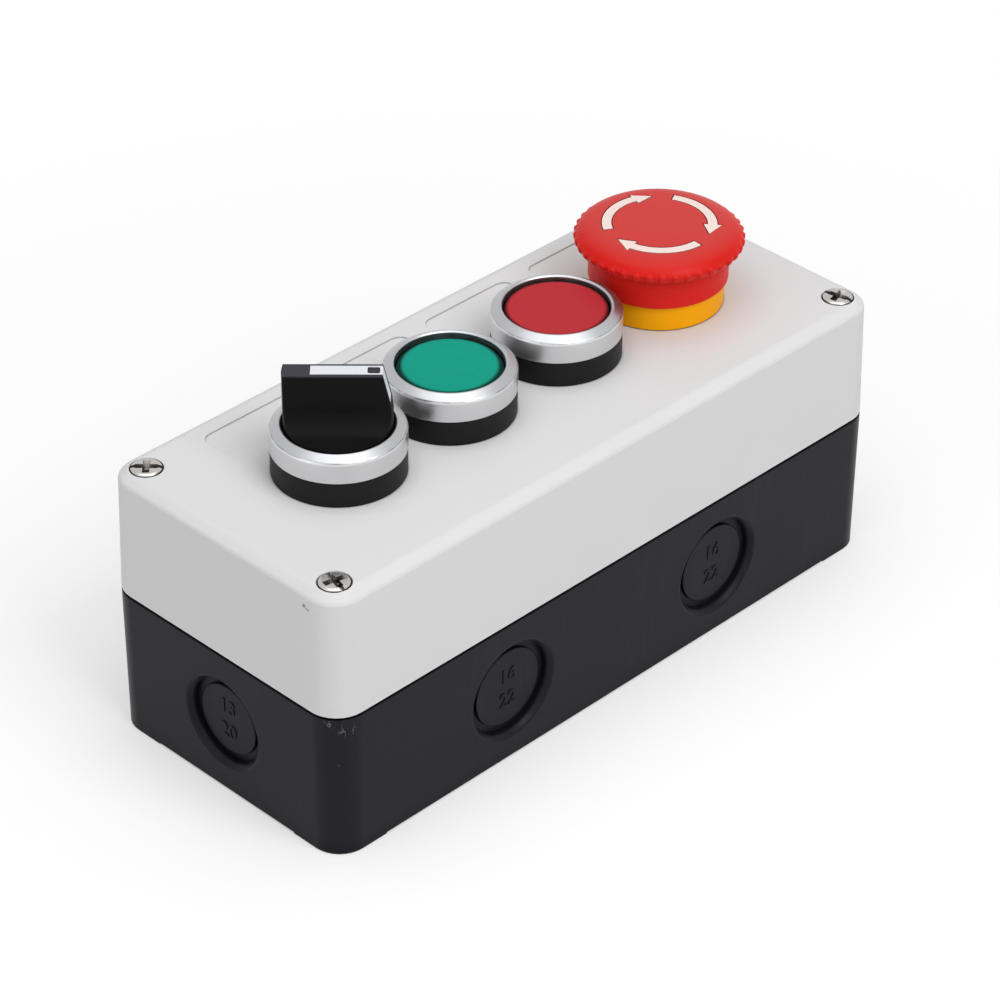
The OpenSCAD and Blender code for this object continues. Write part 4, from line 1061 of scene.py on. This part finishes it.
class CONTROLBOX_OT_stop_head(bpy.types.Operator):
    """Make the mushroom head with its grip bumps and the recesses of its arrows"""

    bl_idname = "controlbox.stop_head"
    bl_label = "Stop head"

    def execute(self, context):
        s = context.scene.stop_sizes
        foot = s.collar_top - 0.3 * MM
        boss_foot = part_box("stop_head")[0].z - PANEL_Z
        roof = s.collar_top + 3.4 * MM
        top = s.rim + s.rise
        ceiling = top - 1.3 * MM
        inner = s.collar_radius + 0.4 * MM
        bore, boss = 6.18 * MM, 8.1 * MM
        # The rim between the skirt and the shoulder: how far it draws in, and its height
        rim = (
            (s.body_radius - undercut * MM, s.rim + lift * MM) for undercut, lift in (
                (0.85, -0.5), (0.62, -0.25), (0.42, 0.1), (0.32, 0.5), (0.3, 0.8)))
        shoulder_width = s.body_radius - s.flat_radius
        shoulder = (
            (s.flat_radius + shoulder_width * math.cos(a), s.rim + s.rise * math.sin(a))
            for a in map(math.radians, range(15, 90, 3)))
        points = [
            (inner, foot), (inner + 0.6 * MM, foot), *rim, *shoulder,
            (s.flat_radius * 0.75, top + 0.45 * s.crown),
            (s.flat_radius * 0.4, top + 0.85 * s.crown),
            (0.0, top + s.crown), (0.0, ceiling), (bore, ceiling), (bore, boss_foot),
            (boss, boss_foot), (boss, roof), (inner - 1.2 * MM, roof), (inner, roof - MM),
        ]
        bm = turned(points, [(0.15 * MM, [0, 1])], 16 * s.bumps)
        self.raise_bumps(bm, s)
        head = to_object("stop_mushroom_head", at_station(bm, "stop"))
        carve(head, at_station(arrow_cutters(s, top - s.arrow_sink, top + MM), "stop"))
        finishes = context.scene.finishes
        # Plastic, moulded: saturated red on the polished rim, and a paler red painted on the top as a painted
        # sheen
        widest = PANEL_Z + s.rim
        red = plastic(
            "head_moulded_abs", finishes.head, 0.4, depth=0.02, mottle=0.03, specular=0.14,
            upper=(finishes.head_top_sheen, widest + 0.6 * s.rise, widest + 0.98 * s.rise))
        dress(head, red, "stop_knob", "head_red", "stop_head", crease=32.0)
        # Second shot of plastic, level with the head's top: cream and matte
        cream = plastic("arrows_moulded_second_shot", finishes.sign, 0.5, mottle=0.02)
        coat(frame["nodes"]["stop_arrows"].data, cream)
        return {"FINISHED"}

    @staticmethod
    def raise_bumps(bm, s):
        """Push the rim out in a row of round bumps, taller than wide."""
        pitch = math.tau / s.bumps
        # What lies inside this radius or below this height is the skirt and stays as it is
        skirt, skirt_top = s.collar_radius + 1.5 * MM, s.rim - 0.55 * MM
        # A bump's section: the lower this power, the squarer its sides
        fullness = 0.35
        for v in bm.verts:
            radius = v.co.xy.length
            if radius < skirt or v.co.z < skirt_top:
                continue
            turn = math.atan2(v.co.y, v.co.x)
            aside = abs((turn / pitch + 0.5) % 1 - 0.5) * pitch * s.body_radius / s.bump_radius
            up = (v.co.z - s.bump_middle) / s.bump_height
            left = 1 - aside ** 2 - up ** 2
            if left > 0:
                v.co.xy *= 1 + s.bump_rise * left ** fullness / radius


# The pieces inside


class CONTROLBOX_OT_inner_parts(bpy.types.Operator):
    """Give the seals, springs, cam, plungers, lamps and contact blocks their materials"""

    bl_idname = "controlbox.inner_parts"
    bl_label = "Inner parts"

    def execute(self, context):
        finishes = {
            # Nitrile rubber, moulded: dull black
            "seal_rubber": plastic("seal_moulded_rubber", linear(0x1D1D1F), 0.75, specular=0.25),
            # Acetal, moulded: amber and waxy
            "cam_acetal": plastic("cam_moulded_acetal", linear(0xD9A441), 0.35, subsurface=0.15),
            # Opal acrylic, moulded: white that lets light spread
            "diffuser_opal": plastic(
                "diffuser_moulded_opal_acrylic", linear(0xF1F3EE), 0.5, subsurface=0.4),
            # Natural nylon, moulded: milky white
            "plunger_nylon": plastic(
                "plunger_moulded_nylon", linear(0xE6E6E0), 0.45, subsurface=0.2),
            # Clear resin, cast with a tint: glossy
            "lamp_green": plastic("lamp_cast_green_resin", linear(0xBFE8D8), 0.15, depth=0.004),
            "lamp_red": plastic("lamp_cast_red_resin", linear(0xF0C4C0), 0.15, depth=0.004),
            # Glass-filled nylon, moulded: dark, with a coarse matte skin
            "nut_black": plastic("nut_moulded_filled_nylon", linear(0x2A2A2C), 0.6, depth=0.04),
            "holder_grey": plastic(
                "holder_moulded_filled_nylon", linear(0x3A3B3F), 0.55, depth=0.04),
            # Thermoset, moulded: slate grey and even
            "block_grey": plastic("block_moulded_thermoset", linear(0x4A5560), 0.5),
            # Acetal, moulded: ivory and slightly waxy
            "stem_ivory": plastic("stem_moulded_acetal", linear(0xE9DFC6), 0.4, subsurface=0.1),
            # Copper alloy and brass strip, stamped: warm metals with a rolled gloss
            "contact_copper": metal("bridge_stamped_copper", linear(0xC98A4B), 0.3),
            "contact_brass": metal("strip_stamped_brass", linear(0xCFA35A), 0.3),
            # Steel, zinc plated: cool grey and hazy
            "terminal_steel": metal("terminal_zinc_plated_steel", linear(0xC4C1B8), 0.35),
        }
        for part in frame["record"]["subparts"]:
            material = finishes.get(part["material_slot"])
            if material:
                coat(frame["nodes"][part["node"]].data, material)
        self.make_springs()
        return {"FINISHED"}

    @staticmethod
    def make_springs():
        """Copy each spring as a mesh of its own, in spring steel."""
        # Spring wire, drawn: bright grey
        material = metal("spring_drawn_steel", linear(0xC9CACC), 0.22)
        for joint in frame["joints"]:
            for spring in joint.get("deforming_nodes", ()):
                node = spring["node"]
                bm = bmesh.new()
                bm.from_mesh(frame["nodes"][node].data)
                bmesh.ops.remove_doubles(bm, verts=bm.verts[:], dist=CLOSE)
                coil = to_object(f"{node}_coil", bm)
                dress(coil, material, "housing", "spring_steel", node, crease=60.0)
                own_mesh(coil)


# The studio


class CONTROLBOX_OT_stage(bpy.types.Operator):
    """Set the floor, the lamps and the camera"""

    bl_idname = "controlbox.stage"
    bl_label = "Studio"

    def execute(self, context):
        scene = context.scene
        s = scene.stage_settings
        floor_reach = 6.0
        bm = bmesh.new()
        bmesh.ops.create_grid(bm, x_segments=1, y_segments=1, size=floor_reach)
        floor = to_object("floor", bm)
        coat(floor.data, self.floor_paint())
        scene.world = scene.world or bpy.data.worlds.new("studio")
        self.paint_world(scene.world, s.sky)
        # Softboxes: direction and height in degrees, distance and side in metres, watts
        for name, turn, height, distance, side, watts in (
            ("key_softbox", -2.0, 48.0, 1.3, 0.7, 6.6),
            ("top_softbox", -30.0, 84.0, 1.2, 1.1, 5.2),
            ("fill_softbox", -95.0, 28.0, 1.5, 0.9, 2.6),
        ):
            data = bpy.data.lights.new(name, "AREA")
            data.shape = "SQUARE"
            data.size = side
            data.energy = watts
            lamp = bpy.data.objects.new(name, data)
            scene.collection.objects.link(lamp)
            back = self.direction(math.radians(turn), math.radians(height))
            turned_to = back.to_track_quat("Z", "Y").to_matrix().to_4x4()
            lamp.matrix_world = Matrix.Translation(Vector(s.aim) + back * distance) @ turned_to
        self.place_camera(scene, s)
        scene.view_settings.view_transform = "Standard"
        return {"FINISHED"}

    @staticmethod
    def direction(azimuth, elevation):
        """From the case towards a lamp or the camera."""
        level = math.cos(elevation)
        return Vector((math.sin(azimuth) * level, -math.cos(azimuth) * level, math.sin(elevation)))

    def place_camera(self, scene, s):
        """The photograph's camera, as fitted to the case's edges and rings."""
        back = self.direction(s.azimuth, s.elevation)
        right = Vector((0, 0, 1)).cross(back).normalized()
        up = back.cross(right)
        sine, cosine = math.sin(s.roll), math.cos(s.roll)
        axes = Matrix((cosine * right + sine * up, cosine * up - sine * right, back))
        data = bpy.data.cameras.new("camera")
        data.sensor_width = 36.0
        data.lens = s.lens
        data.clip_start = 0.05
        data.clip_end = 50.0
        camera = bpy.data.objects.new("camera", data)
        scene.collection.objects.link(camera)
        stand = Matrix.Translation(Vector(s.aim) + back * s.distance)
        camera.matrix_world = stand @ axes.transposed().to_4x4()
        scene.camera = camera

    @staticmethod
    def seen(add):
        """One for what the camera sees, straight or in metal and gloss, else nothing."""
        total = add("ShaderNodeLightPath", output="Is Camera Ray")
        for name in ("Is Glossy Ray", "Is Transmission Ray"):
            ray = add("ShaderNodeLightPath", output=name)
            total = add(MATH, (total, ray), operation="MAXIMUM")
        return total

    def floor_paint(self):
        """White paper sweep: it keeps the case's shadow, and turns plain white further out."""
        material, add, place = start_material("floor_white_paper")
        seen = self.seen(add)
        colours = {FACTOR: seen, FIRST: toned(linear(0xE6E6E6), 1.0), SECOND: WHITE}
        tone = add(MIX, colours, BLENDED, data_type="RGBA")
        paper = add("ShaderNodeBsdfDiffuse", {"Color": tone})
        # Plain white takes over between 80 and 260 mm from the middle
        away = add(VECTOR_MATH, (place,), 1, operation="LENGTH")
        share = add(RANGE, (away, 0.08, 0.26, 0.35, 1.0))
        white = add(MATH, (seen, share), operation="MULTIPLY")
        plain = add("ShaderNodeEmission", {"Color": WHITE, "Strength": 1.0})
        return end_material(material, add, add("ShaderNodeMixShader", (white, paper, plain)))

    def paint_world(self, world, strength):
        """Even light, with a white backdrop for the camera, metal and gloss."""
        world.use_nodes = True
        world.node_tree.nodes.clear()
        add = functools.partial(add_node, world.node_tree)
        light = add("ShaderNodeBackground", {"Color": WHITE, "Strength": strength})
        white = add("ShaderNodeBackground", {"Color": WHITE, "Strength": 1.0})
        both = add("ShaderNodeMixShader", (self.seen(add), light, white))
        add("ShaderNodeOutputWorld", {"Surface": both})


class CONTROLBOX_PT_panel(bpy.types.Panel):
    """Lists the pieces of the control box with their sizes and colours"""

    bl_idname = "CONTROLBOX_PT_panel"
    bl_label = "Control box"
    bl_space_type = "VIEW_3D"
    bl_region_type = "UI"
    bl_category = "Control box"

    def draw(self, context):
        for operator in OPERATORS:
            self.layout.operator(operator.bl_idname)
        for name, group in GROUPS.items():
            box = self.layout.box()
            box.label(text=group.__doc__)
            for size in group.__annotations__:
                box.prop(getattr(context.scene, name), size)


GROUPS = {
    "box_sizes": BoxSizes,
    "knock_out_sizes": KnockOutSizes,
    "device_sizes": DeviceSizes,
    "stop_sizes": StopSizes,
    "finishes": Finishes,
    "stage_settings": StageSettings,
}
OPERATORS = (
    CONTROLBOX_OT_cover, CONTROLBOX_OT_base, CONTROLBOX_OT_screws, CONTROLBOX_OT_rings,
    CONTROLBOX_OT_bezels, CONTROLBOX_OT_lenses, CONTROLBOX_OT_knob, CONTROLBOX_OT_stop_rings,
    CONTROLBOX_OT_stop_head, CONTROLBOX_OT_inner_parts, CONTROLBOX_OT_stage,
)
CLASSES = (*GROUPS.values(), *OPERATORS, CONTROLBOX_PT_panel)


def register():
    for kind in CLASSES:
        bpy.utils.register_class(kind)
    for name, group in GROUPS.items():
        setattr(bpy.types.Scene, name, PointerProperty(type=group))


def unregister():
    for name in GROUPS:
        delattr(bpy.types.Scene, name)
    for kind in reversed(CLASSES):
        bpy.utils.unregister_class(kind)


def main():
    register()
    bpy.ops.controlbox.cover()
    bpy.ops.controlbox.base()
    bpy.ops.controlbox.screws()
    bpy.ops.controlbox.rings()
    bpy.ops.controlbox.bezels()
    bpy.ops.controlbox.lenses()
    bpy.ops.controlbox.knob()
    bpy.ops.controlbox.stop_rings()
    bpy.ops.controlbox.stop_head()
    bpy.ops.controlbox.inner_parts()
    bpy.ops.controlbox.stage()


if __name__ == "__main__":
    main()
